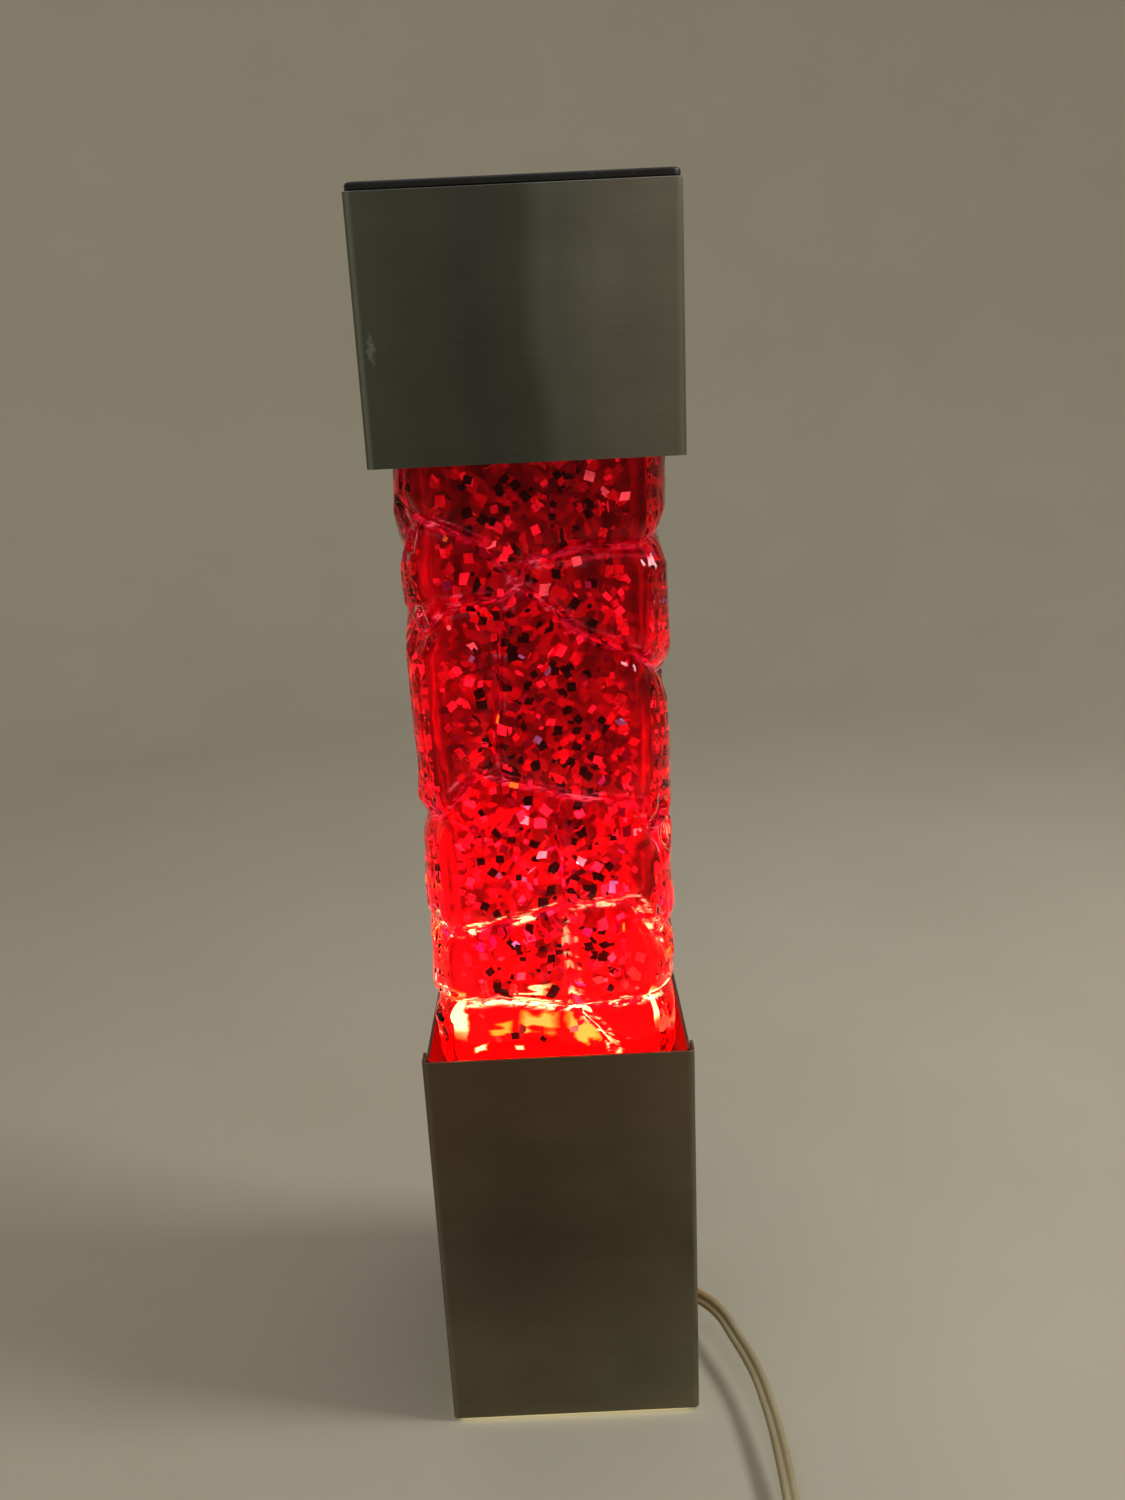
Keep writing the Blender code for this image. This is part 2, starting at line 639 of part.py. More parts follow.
def distance_to_groove(around, z, segments):
    nearest = math.inf
    for lap in (-4 * FACE, 0, 4 * FACE):
        a, b = segments[:, 0] + (lap, 0), segments[:, 1] + (lap, 0)
        d, p = b - a, np.array((around, z)) - a
        t = np.clip((p * d).sum(1) / (d * d).sum(1), 0, 1)
        nearest = min(nearest, np.linalg.norm(p - t[:, None] * d, axis=1).min())
    return nearest


def rock(around, z, segments):
    """How far the glass stands out of its grooves there, from 0 to 1."""
    fade = np.interp(z, (ROCK_LOW - 6 * MM, ROCK_LOW, ROCK_HIGH, ROCK_HIGH + 5 * MM), (0, 1, 1, 0))
    relief = 1 - math.exp(-distance_to_groove(around, z, segments) / ROCK_REACH)
    return PLAIN_RISE + (relief - PLAIN_RISE) * fade


def bottle_ring(z, inset, share, segments):
    """One level of the bottle's body: inset from the outside, with a share of its relief."""
    ring = []
    for i, (x, y) in enumerate(section(1.0)):
        rise = ROCK_HEIGHT * rock(4 * FACE * i / AROUND, z, segments)
        half_width = GROOVE_HALF_WIDTH - inset + share * rise
        ring.append((half_width * x, half_width * y, z))
    return ring


def shoulder_ring(z, low, high, start, radius):
    """One level between a body ring at the height low and a round neck at the height high."""
    t = (z - low) / (high - low)
    mix = 1 - math.sqrt(max(0.0, 1 - t * t))  # a quarter ellipse from the wall to the neck
    ring = []
    for i, (x, y, _) in enumerate(start):
        angle = math.atan2(y, x)
        ring.append((
            x + (radius * math.cos(angle) - x) * mix,
            y + (radius * math.sin(angle) - y) * mix,
            z,
        ))
    return ring


def shrunk(ring, share, z):
    return [(x * share, y * share, z) for x, y, _ in ring]


def neck_ring(radius, z, like):
    return [(radius * math.cos(a), radius * math.sin(a), z) for a in (math.atan2(y, x) for x, y, _ in like)]


def make_bottle():
    segments = groove_segments()
    body = [BOTTLE_BOTTOM + h * MM for h in (3, 12, 22)] + list(
        np.linspace(ROCK_LOW + 2 * MM, SHOULDER_START, LEVELS)
    )
    curve = [0.35, 0.6, 0.8, 0.93, 1.0]
    bottle_lift = joint("bottle_lift_axis", (0, 0, BOTTLE_BOTTOM))

    outer = [bottle_ring(z, 0, 1, segments) for z in body]
    outer += [
        shoulder_ring(SHOULDER_START + t * (NECK_START - SHOULDER_START), SHOULDER_START, NECK_START, outer[-1], NECK_RADIUS)
        for t in curve
    ]
    foot = [
        shrunk(outer[0], 0.45, BOTTLE_BOTTOM + 3 * MM),
        shrunk(outer[0], 0.8, BOTTLE_BOTTOM + 1 * MM),
        shrunk(outer[0], 0.88, BOTTLE_BOTTOM),
        shrunk(outer[0], 0.96, BOTTLE_BOTTOM),
        shrunk(outer[0], 0.99, BOTTLE_BOTTOM + 1 * MM),
    ]

    def lining(inset, top, neck_radius):
        """The bottle's inner wall from its floor up, moved in by inset."""
        levels = [z for z in body if z > GLASS_FLOOR + 3 * MM]
        rings = [bottle_ring(z, WALL + inset, INSIDE_ROCK, segments) for z in levels]
        low, high = SHOULDER_START, NECK_START - WALL
        rings += [
            shoulder_ring(low + t * (high - low), low, high, rings[-1], neck_radius)
            for t in curve if low + t * (high - low) <= top
        ]
        floor = [
            shrunk(rings[0], 0.8, GLASS_FLOOR + inset),
            shrunk(rings[0], 0.97, GLASS_FLOOR + inset + 1.5 * MM),
        ]
        return floor + rings

    inner = lining(0, NECK_START, NECK_BORE)
    neck = [
        neck_ring(NECK_RADIUS, NECK_TOP, inner[-1]),
        neck_ring(NECK_BORE, NECK_TOP, inner[-1]),
    ]
    glass = foot + outer + neck + inner[::-1]
    loft("bottle_glass", glass, clear_glass, bottle_lift)

    liquid = lining(GAP, LIQUID_TOP, NECK_BORE - GAP)
    loft("bottle_liquid", liquid, red_liquid, bottle_lift)

    turned(
        "closure_liner",
        [(0, NECK_TOP + 1.3 * MM), (NECK_RADIUS, NECK_TOP + 1.3 * MM), (NECK_RADIUS, NECK_TOP + GAP), (0, NECK_TOP + GAP)],
        rubber, parent=bottle_lift,
    )
    lid_under, skirt_low = CLOSURE_TOP - 1 * MM, NECK_TOP - 10 * MM
    turned(
        "closure_cap",
        [
            (0, CLOSURE_TOP), (CLOSURE_RADIUS - MM, CLOSURE_TOP), (CLOSURE_RADIUS, CLOSURE_TOP - MM),
            (CLOSURE_RADIUS, skirt_low), (NECK_RADIUS + 2 * GAP, skirt_low),
            (NECK_RADIUS + 2 * GAP, lid_under), (0, lid_under),
        ],
        aluminium, parent=bottle_lift, steps=32,
    )
    return bottle_lift


# Cap and lid

def make_cap(bottle_lift):
    cap_lift = joint("cap_lift_axis", (0, 0, SHELF), bottle_lift)
    sleeve("cap", CAP_BOTTOM, CAP_TOP, (SHELF_RIVET_Z,), brushed, cap_lift)
    shelf = tray("cap_shelf", SHELF, SHELF_DEPTH, True, plated_steel, SHELF_RIVET_Z, cap_lift)
    combine(shelf, cylinder_mesh("shelf_hole", SHELF_HOLE, 6 * MM, 32), (0, 0, SHELF))
    rivets("cap", (SHELF_RIVET_Z,), aluminium, cap_lift)

    lid_lift = joint("lid_lift_axis", (0, 0, CAP_TOP), cap_lift)
    half, low = LID_WIDTH / 2, CAP_TOP + GAP
    lid = block("cap_lid", (-half, -half, low), (half, half, LID_TOP), black_plastic, lid_lift, bevel=0.7 * MM)
    skirt = Vector((2 * TRAY_X - MM, 2 * TRAY_Y - MM, LID_SKIRT_DEPTH + MM))
    middle = (0, 0, low - LID_SKIRT_DEPTH / 2 + MM / 2)
    combine(lid, block_mesh("lid_skirt", skirt), middle, operation="UNION")
    hollow = Vector((skirt.x - 2 * LID_SKIRT_WALL, skirt.y - 2 * LID_SKIRT_WALL, LID_SKIRT_DEPTH + 2 * MM))
    combine(lid, block_mesh("lid_hollow", hollow), (0, 0, low - LID_SKIRT_DEPTH / 2 - MM))


# Cord, switch and plug

def make_cord():
    for name, start, route in (
        ("cord_lead", [EXIT], LEAD_ROUTE), ("cord_link", [], LINK_ROUTE), ("cord_tail", [], TAIL_ROUTE)
    ):
        tube(name, start + smooth_route(route, 2.2 * CORD), CORD / 2, gold_pvc)
    half, corner = COIL_SECTION / 2, 2 * MM
    middle = COIL_BOTTOM + half
    ring = [
        (COIL_RADIUS + a * (half - b * corner), middle + c * (half - d * corner))
        for a, b, c, d in (
            (1, 1, 1, 0), (1, 0, 1, 1), (1, 0, -1, 1), (1, 1, -1, 0),
            (-1, 1, -1, 0), (-1, 0, -1, 1), (-1, 0, 1, 1), (-1, 1, 1, 0),
        )
    ]
    turned("cord_coil", ring, gold_pvc, COIL_AT, steps=36, ring=True)

    inside_y, inside_z = half + GAP, half + GAP
    outside_y, outside_z = inside_y + TIE_SHEET, inside_z + TIE_SHEET
    band = [
        [(-y, -z), (y, -z), (y, z), (-y, z)]
        for y, z in ((outside_y, outside_z), (inside_y, inside_z))
    ]
    place(
        "coil_tie", outline_curve("band", band, TIE_WIDTH), black_plastic,
        COIL_AT + Vector((0, COIL_RADIUS, middle)), (math.pi / 2, 0, math.pi / 2),
    )


def make_switch():
    half = SWITCH_SIZE / 2
    pivot = SWITCH_AT + Vector((WHEEL_OFFSET, 0, 0))
    pocket = cylinder_mesh("pocket", WHEEL_RADIUS + 2 * GAP, WHEEL_HEIGHT + 2 * GAP, 32)
    for name, low, high in (
        ("switch_lower_case", 0, SWITCH_AT.z - GAP / 2),
        ("switch_upper_case", SWITCH_AT.z + GAP / 2, SWITCH_SIZE.z),
    ):
        case = block(
            name, (SWITCH_AT.x - half.x, SWITCH_AT.y - half.y, low),
            (SWITCH_AT.x + half.x, SWITCH_AT.y + half.y, high), black_plastic, bevel=1.6 * MM,
        )
        combine(case, pocket, pivot)
        if low == 0:
            post = SWITCH_SIZE.z / 2 - MM
            combine(
                case, cylinder_mesh("post", WHEEL_POST, post, 16),
                (pivot.x, pivot.y, SWITCH_AT.z + WHEEL_HEIGHT / 2 - post / 2), operation="UNION",
            )

    turn = joint("switch_turn_axis", pivot)
    flutes = 20
    bm = bmesh.new()
    bmesh.ops.create_cone(
        bm, cap_ends=True, segments=2 * flutes, radius1=WHEEL_RADIUS, radius2=WHEEL_RADIUS,
        depth=WHEEL_HEIGHT,
    )
    for vert in bm.verts:
        step = round(math.atan2(vert.co.y, vert.co.x) / (math.pi / flutes))
        if step % 2:
            vert.co.xy *= 0.93
    wheel = place("switch_wheel", mesh_of("switch_wheel", bm), black_plastic, pivot, parent=turn)
    drill(wheel, WHEEL_POST + GAP, pivot, depth=2 * WHEEL_HEIGHT)


def make_plug():
    stations = [  # distance behind the face, half width, half height, squareness
        (44, 3.3, 3.1, 2), (36, 4.4, 3.8, 2.2), (29, 6.0, 4.8, 2.5), (25, 9.0, 6.2, 3),
        (20, 12, 7.0, 4.5), (4, 12.4, 7.0, 5), (1, 12.0, 6.7, 5), (0, 11.2, 6.0, 5),
    ]
    rings = []
    for back, half_x, half_z, power in stations:
        ring = []
        for a in np.linspace(0, 2 * math.pi, 20, endpoint=False):
            c, s = math.cos(a), math.sin(a)
            size = (abs(c) ** power + abs(s) ** power) ** (1 / power)
            ring.append((
                PLUG_AT.x + half_x * MM * c / size, PLUG_AT.y - back * MM,
                PLUG_AT.z + half_z * MM * s / size,
            ))
        rings.append(ring)
    body = loft("plug_body", rings, black_plastic)
    for number, sign in enumerate((-1, 1), 1):
        middle = PLUG_AT + Vector((sign * BLADE_SPACING / 2, BLADE.y / 2 - BLADE_INSIDE, 0))
        slot = BLADE + Vector((2 * GAP, 2 * GAP, 2 * GAP))
        combine(body, block_mesh("slot", slot), middle)
        blade = block(f"plug_blade_{number}", middle - BLADE / 2, middle + BLADE / 2, brass)
        combine(
            blade, cylinder_mesh("blade_hole", 1.6 * MM, 6 * MM, 16),
            middle + Vector((0, BLADE.y / 2 - 4 * MM, 0)), (0, math.pi / 2, 0),
        )


clear_scene()
lamp = new_collection("glitter_lamp")
cutters = new_collection("cutters")

brushed = new_material("brushed_metal", (0.29, 0.26, 0.19), 0.38, 1.0)
black_steel = new_material("black_steel", (0.03, 0.03, 0.03), 0.5, 0.6)
plated_steel = new_material("plated_steel", (0.62, 0.62, 0.6), 0.35, 1.0)
aluminium = new_material("aluminium", (0.75, 0.75, 0.76), 0.35, 1.0)
brass = new_material("brass", (0.78, 0.57, 0.25), 0.3, 1.0)
tungsten = new_material("tungsten", (0.35, 0.34, 0.33), 0.4, 1.0)
rubber = new_material("rubber", (0.03, 0.03, 0.03), 0.8)
black_plastic = new_material("black_plastic", (0.02, 0.02, 0.022), 0.35)
phenolic = new_material("phenolic", (0.05, 0.03, 0.02), 0.45)
pvc = new_material("wire_insulation", (0.55, 0.42, 0.22), 0.4)
gold_pvc = new_material("gold_pvc", (0.66, 0.52, 0.29), 0.35, alpha=0.9)
frosted_glass = new_material("frosted_glass", (0.95, 0.93, 0.88), 0.5, alpha=0.6)
clear_glass = new_material("clear_glass", (0.9, 0.85, 0.85), 0.05, alpha=0.3)
red_liquid = new_material("red_liquid", (0.7, 0.02, 0.02), 0.1, alpha=0.8)

make_base()
make_lampholder()
make_wires()
make_grommet()
make_bulb()
make_cap(make_bottle())
make_cord()
make_switch()
make_plug()
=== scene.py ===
"""Looks of the square glitter lamp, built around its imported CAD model."""

import math

import bmesh
import bpy
import numpy as np
from mathutils import Matrix, Vector


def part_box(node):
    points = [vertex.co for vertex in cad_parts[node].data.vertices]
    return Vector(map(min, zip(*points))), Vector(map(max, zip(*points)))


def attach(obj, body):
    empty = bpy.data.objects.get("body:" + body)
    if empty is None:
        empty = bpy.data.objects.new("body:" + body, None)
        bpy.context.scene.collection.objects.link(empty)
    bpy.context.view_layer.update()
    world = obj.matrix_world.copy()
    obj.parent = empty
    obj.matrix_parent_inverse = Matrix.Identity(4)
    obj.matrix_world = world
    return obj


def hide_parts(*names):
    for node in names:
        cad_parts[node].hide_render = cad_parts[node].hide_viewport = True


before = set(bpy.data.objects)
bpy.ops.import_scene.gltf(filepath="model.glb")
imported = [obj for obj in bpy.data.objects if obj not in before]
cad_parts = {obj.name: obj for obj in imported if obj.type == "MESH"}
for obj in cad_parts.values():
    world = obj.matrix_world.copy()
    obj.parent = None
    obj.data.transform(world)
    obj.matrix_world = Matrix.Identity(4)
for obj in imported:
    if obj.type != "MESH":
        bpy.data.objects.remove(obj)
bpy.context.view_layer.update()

MM = 0.001
TURN = 2 * math.pi
rng = np.random.default_rng(7)


# Camera, at the photograph's place

LENS, SENSOR = 27.05, 36.0
CAMERA_AT = Vector((6.2, -370.3, 351.9)) * MM
CAMERA_RIGHT = (0.99889, -0.01341, -0.04509)
CAMERA_UP = (0.04705, 0.28665, 0.95688)
CAMERA_BACK = (0.0001, -0.95794, 0.28696)


def add(name, data, at=None):
    obj = bpy.data.objects.new(name, data)
    if at:
        obj.matrix_world = at
    bpy.context.scene.collection.objects.link(obj)
    return obj


def make_camera():
    lens = bpy.data.cameras.new("camera")
    lens.lens, lens.sensor_width, lens.clip_start = LENS, SENSOR, 0.01
    turn = Matrix((CAMERA_RIGHT, CAMERA_UP, CAMERA_BACK)).transposed()
    bpy.context.scene.camera = add("camera", lens, Matrix.Translation(CAMERA_AT) @ turn.to_4x4())


# Node materials. Their textures lie in the object's own metres

class Finish:
    """A material being made. Each method but set adds nodes and returns the last one's output."""

    def __init__(self, name, color=(0.8, 0.8, 0.8), roughness=0.5, **numbers):
        self.data = bpy.data.materials.new(name)
        self.data.use_nodes = True
        self.tree = self.data.node_tree
        self.shader = self.tree.nodes["Principled BSDF"]
        self.set(Base_Color=color, Roughness=roughness, **numbers)
        self.at = self.node("TexCoord", output="Object")

    def feed(self, node, inputs):
        for key, value in inputs.items():
            socket = node.inputs[key]
            if isinstance(value, bpy.types.NodeSocket):
                self.tree.links.new(value, socket)
            elif isinstance(value, tuple) and socket.type == "RGBA":
                socket.default_value = (*value[:3], 1)
            else:
                socket.default_value = value

    def set(self, **inputs):
        """Feeds the shader. Its inputs' names have _ for each space."""
        self.feed(self.shader, {key.replace("_", " "): value for key, value in inputs.items()})

    def node(self, kind, inputs=None, output=0, **settings):
        made = self.tree.nodes.new("ShaderNode" + kind)
        for key, value in settings.items():
            setattr(made, key, value)
        self.feed(made, inputs or {})
        return made.outputs[output]

    def scaled(self, scale, seed=0.0):
        shift = (seed, seed * 1.7, -seed)
        return self.node("Mapping", {"Vector": self.at, "Scale": scale, "Location": shift})

    def noise(self, scale, detail=2.0, seed=0.0, rough=0.5):
        """Noise with features of 1/scale metres along each axis."""
        at = self.scaled(scale if isinstance(scale, tuple) else (scale,) * 3, seed)
        inputs = {"Vector": at, "Scale": 1.0, "Detail": detail, "Roughness": rough}
        return self.node("TexNoise", inputs)

    def ramp(self, value, *stops, smooth=False):
        """Colours or greys at places from 0 to 1."""
        made = self.node("ValToRGB", {"Fac": value})
        ramp = made.node.color_ramp
        while len(ramp.elements) < len(stops):
            ramp.elements.new(0.5)
        if smooth:
            ramp.interpolation = "EASE"
        for element, (place, color) in zip(ramp.elements, stops):
            element.position = place
            element.color = (*color, 1) if isinstance(color, tuple) else (color,) * 3 + (1,)
        return made

    def patches(self, value, low, high, amount=1.0):
        return self.ramp(value, (low, 0.0), (high, amount))

    def math(self, operation, a, b=0.0, c=0.0):
        return self.node("Math", {0: a, 1: b, 2: c}, operation=operation)

    def times(self, first, *others):
        for other in others:
            first = self.math("MULTIPLY", first, other)
        return first

    def line(self, value, slope, start):
        return self.math("MULTIPLY_ADD", value, slope, start)

    def blend(self, factor, a, b, mode="MIX"):
        return self.node("Mix", {0: factor, 6: a, 7: b}, 2, data_type="RGBA", blend_type=mode)

    def tinted(self, a, b):
        return self.blend(1.0, a, b, "MULTIPLY")

    def axis(self, which):
        return self.node("SeparateXYZ", {0: self.at}, which)

    def size(self, value):
        return self.math("ABSOLUTE", value)

    def off(self, which, middle):
        """How far along an axis from a place."""
        return self.size(self.math("SUBTRACT", self.axis(which), middle))

    def between(self, value, low, high, to_low=0.0, to_high=1.0):
        ends = {"From Min": low, "From Max": high, "To Min": to_low, "To Max": to_high}
        return self.node("MapRange", {"Value": value, **ends})

    def varied(self, noise, low, high):
        return self.between(noise, 0.3, 0.7, low, high)

    def bell(self, which, middle, reach):
        """1 at a place along an axis, falling smoothly to 0 at reach from it."""
        return self.ramp(
            self.between(self.off(which, middle), 0.0, reach), (0.0, 1.0), (1.0, 0.0), smooth=True
        )

    def bump(self, height, depth, strength):
        return self.node("Bump", {"Height": height, "Distance": depth, "Strength": strength})

    def painted(self, layer):
        return self.node("VertexColor", layer_name=layer)


def brushed_metal(name, low, high, painted_reflection_bands, painted_shade_by_height, bend_light):
    """Satin steel brushed along the horizontal, with the soft upright bands of a room's reflections
    painted into its colour.

    The panel runs from low to high. The bands are (place across the front, colour) of painted
    reflections, the shade is the colour's share at the foot, the middle and the top, painted by
    height, and bend_light the painted glint on the bends."""
    f = Finish(name, roughness=0.4, Metallic=1.0, Anisotropic=0.6)
    streak = f.noise((10, 10, 3600), detail=5.0, rough=0.75)
    fine = f.noise((50, 50, 9000), seed=3.0)
    # Painted reflections of a room: soft upright bands of colour across the front
    across = f.between(f.axis("X"), -WIDTH / 2, WIDTH / 2)
    drift = f.line(f.noise((9, 9, 13), detail=1.0, seed=8.0), 0.22, -0.11)
    color = f.ramp(f.math("ADD", across, drift), *painted_reflection_bands, smooth=True)
    # Painted light and shade by height: the colour scaled at the foot, the middle and the top
    color = f.tinted(color, f.ramp(f.between(f.axis("Z"), low, high), *zip((0.0, 0.5, 1.0), painted_shade_by_height)))
    color = f.tinted(color, f.ramp(streak, (0.3, 0.90), (0.7, 1.09)))
    haze = f.noise((38, 38, 55), detail=5.0, seed=5.0, rough=0.6)
    color = f.tinted(color, f.ramp(haze, (0.35, 0.93), (0.7, 1.07)))
    scratches = f.patches(f.noise((45, 45, 2600), detail=1.0, seed=21.0), 0.72, 0.78, 0.07)
    color = f.blend(scratches, color, (0.5, 0.48, 0.42))
    # A painted highlight along the bends: a pale green-grey line
    on_bend = f.between(f.size(f.axis("X")), WIDTH / 2 - 2.5 * MM, WIDTH / 2)
    bend_glint = f.ramp(on_bend, (0.0, 0.0), (0.5, bend_light), (0.8, 0.1))
    color = f.blend(bend_glint, color, (0.50, 0.53, 0.46))
    smudge = f.patches(f.noise(26, detail=4.0, seed=12.0), 0.45, 0.75)
    rough = f.line(smudge, 0.08, f.varied(streak, 0.34, 0.48))
    height = f.math("ADD", f.times(streak, 0.6), f.times(fine, 0.4))
    f.set(
        Base_Color=color, Roughness=rough, Normal=f.bump(height, 0.02 * MM, 0.5),
        Tangent=f.node("Tangent", direction_type="RADIAL", axis="Z"),
    )
    return f, color, rough


def base_metal():
    painted_reflection_bands = [
        (0.0, (0.160, 0.136, 0.100)), (0.35, (0.150, 0.130, 0.095)), (0.7, (0.163, 0.145, 0.106)),
        (1.0, (0.195, 0.177, 0.131)),
    ]
    # Painted by height: paler at the foot, a painted reflection of the floor, and darker and redder
    # at the top, painted red light from the glass above
    painted_shade_by_height = (1.10, 1.12, 1.06), (0.98, 0.97, 0.93), (0.90, 0.74, 0.68)
    return brushed_metal("brushed_base", 0.0, 0.15, painted_reflection_bands, painted_shade_by_height, 0.12)[0].data


def cap_metal():
    painted_reflection_bands = [
        (0.0, (0.160, 0.180, 0.160)), (0.22, (0.145, 0.155, 0.140)), (0.36, (0.126, 0.131, 0.128)),
        (0.50, (0.136, 0.150, 0.136)), (0.60, (0.235, 0.256, 0.232)), (0.82, (0.315, 0.312, 0.276)),
        (1.0, (0.35, 0.345, 0.30)),
    ]
    # Painted shade by height: darker at the foot and lighter at the top
    painted_shade_by_height = (0.88, 0.86, 0.82), (0.98, 0.98, 0.96), (1.10, 1.10, 1.10)
    f, color, rough = brushed_metal("brushed_cap", 0.338, 0.41, painted_reflection_bands, painted_shade_by_height, 0.55)
    # A painted pale reflection low on the right
    uneven = f.varied(f.noise((60, 60, 45), detail=3.0, seed=14.0), 0.2, 0.9)
    painted_sheen = f.times(f.bell("X", 0.024, 0.013), f.bell("Z", 0.387, 0.016), uneven, 0.5)
    color = f.blend(painted_sheen, color, (0.42, 0.46, 0.41))
    # A scuffed patch near the front's left edge
    x = f.between(f.off("X", -0.0408), 0.0, 1 / 420, 1.0, 0.0)
    z = f.between(f.off("Z", 0.370), 0.0, 1 / 110, 1.0, 0.0)
    inside = f.times(x, z, f.between(f.axis("Y"), -0.044, -0.0445))
    crumbs = f.noise((900, 900, 500), detail=5.0, seed=2.0, rough=0.7)
    scuff = f.patches(f.line(inside, 0.34, f.times(crumbs, 0.6)), 0.47, 0.53)
    scuff = f.times(scuff, f.math("GREATER_THAN", inside, 0.02))
    f.set(
        Base_Color=f.blend(f.times(scuff, 0.55), color, (0.55, 0.55, 0.5)),
        Roughness=f.line(scuff, 0.25, rough),
    )
    return f.data


def shaded(color, share):
    return tuple(share * c for c in color)


def plain_metal(
    name, color, roughness, spots=0.3, metallic=1.0, grain=(300, 300, 300), depth=0.02 * MM
):
    """Bare or plated metal: cloudy colour, fine grain and a scatter of dull spots."""
    f = Finish(name, roughness=roughness, Metallic=metallic)
    cloud = f.patches(f.noise(60, detail=4.0, seed=4.0), 0.35, 0.7)
    spot = f.patches(f.noise(420, detail=3.0, seed=9.0), 0.62, 0.70, spots)
    f.set(
        Base_Color=f.blend(spot, f.blend(cloud, shaded(color, 0.72), color), shaded(color, 0.45)),
        Roughness=f.varied(f.noise(grain, detail=3.0), roughness - 0.08, roughness + 0.12),
        Normal=f.bump(f.noise(grain, detail=4.0, seed=1.0), depth, 0.4),
    )
    return f.data


def moulded(name, color, roughness, grain=2600, depth=0.02 * MM):
    """Moulded plastic or rubber: a fine spark-eroded grain, dust in it and uneven gloss."""
    f = Finish(name, roughness=roughness)
    worn = f.patches(f.noise(180, detail=5.0, seed=3.0), 0.42, 0.8, 0.6)
    paler = tuple(min(1.0, 1.5 * c + 0.012) for c in color)
    dust = f.patches(f.noise(1500, detail=1.0, seed=7.0), 0.69, 0.73, 0.35)
    f.set(
        Base_Color=f.blend(dust, f.blend(worn, color, paler), (0.22, 0.21, 0.20)),
        Roughness=f.varied(f.noise(90, detail=4.0), roughness - 0.07, roughness + 0.1),
        Normal=f.bump(f.noise(grain, seed=1.0), depth, 0.5),
    )
    return f.data


def gold_flex():
    """Clear gold PVC over stranded copper, with faint strands showing through."""
    f = Finish(
        "gold_flex", Subsurface_Weight=0.35, Subsurface_Radius=(0.004, 0.0022, 0.0008),
        Subsurface_Scale=0.5, Coat_Weight=0.35, Coat_Roughness=0.2,
    )
    cloud = f.patches(f.noise(55, detail=3.0), 0.35, 0.7)
    color = f.blend(cloud, (0.43, 0.375, 0.225), (0.53, 0.475, 0.31))
    strands = f.patches(f.noise(1300, seed=5.0), 0.45, 0.7, 0.3)
    color = f.blend(strands, color, (0.34, 0.25, 0.12))
    # The stretch by the bushing has yellowed towards brown
    near = (f.between(f.axis("X"), 0.060, 0.047), f.between(f.axis("Y"), -0.03, -0.015))
    f.set(
        Base_Color=f.blend(f.times(*near, 0.85), color, (0.50, 0.27, 0.10)),
        Roughness=f.varied(f.noise(300, detail=3.0), 0.26, 0.42),
        Normal=f.bump(f.noise(500, detail=3.0, seed=2.0), 0.04 * MM, 0.4),
    )
    return f.data


GLASS_IOR, GLASS_TO_LIQUID = 1.5, 1.5 / 1.34


def glass_finish(name, color=(0.98, 0.95, 0.95), ior=GLASS_IOR, **numbers):
    f = Finish(name, roughness=0.0, IOR=ior, Transmission_Weight=1.0, **numbers)
    f.set(
        Base_Color=f.blend(f.noise(40), color, shaded(color, 0.98)),
        Normal=f.bump(f.noise((260, 260, 90), seed=6.0), 0.12 * MM, 0.35),
    )
    return f


def rock_crystal():
    """The bottle's outside, with red lines and glints painted along its creases as emission."""
    f = glass_finish("bottle_crystal", Specular_Tint=(0.55, 0.16, 0.20))
    # Painted glow along the creases: broken red lines, and glints that are pale yellow low down and
    # pinkish red higher up
    up = f.between(f.axis("Z"), 0.145, 0.345)
    broken = f.ramp(f.noise((230, 230, 460), detail=3.0, seed=17.0), (0.40, 0.05), (0.62, 1.0))
    red = f.times(broken, f.ramp(up, (0.0, 0.9), (0.3, 0.8), (0.5, 0.7), (0.8, 0.55), (1.0, 0.3)))
    hot = f.between(f.axis("Z"), 0.212, 0.190)
    spots = f.line(hot, 0.07, f.noise((130, 130, 330), detail=4.0, seed=9.0, rough=0.6))
    spots = f.patches(spots, 0.56, 0.63)
    glint = f.times(spots, f.ramp(up, (0.0, 1.0), (0.24, 0.8), (0.32, 0.14), (1.0, 0.07)))
    hot_color = f.ramp(up, (0.25, (1.0, 0.62, 0.25)), (0.33, (1.0, 0.10, 0.16)))
    f.set(
        Emission_Color=f.blend(spots, (1.0, 0.012, 0.05), hot_color),
        Emission_Strength=f.times(f.painted("painted_crease_glow"), f.line(glint, 5.0, red)),
    )
    return f.data


def liquid_edge():
    """The liquid's boundary. Light crosses it unbent, because it bends at the glass already."""
    f = Finish("liquid_edge")
    f.tree.nodes.remove(f.shader)
    tint = f.blend(f.patches(f.noise(70), 0.3, 0.7), (1.0, 0.22, 0.24), (1.0, 0.18, 0.20))
    clear = f.node("BsdfTransparent", {"Color": tint})
    f.tree.links.new(clear, f.tree.nodes["Material Output"].inputs["Surface"])
    return f.data


# How bright the liquid's painted glow is at each height, from the bulb's end up: place, red glow
GLOW = [
    (0.130, 3.6), (0.150, 2.4), (0.168, 1.9), (0.190, 1.45), (0.206, 1.0), (0.228, 0.82),
    (0.240, 0.46), (0.262, 0.40), (0.290, 0.32), (0.315, 0.20), (0.342, 0.10), (0.356, 0.07),
]
FOOT = (0.158, 0.168)  # heights between which the foot's plain painted glow gives way to glitter
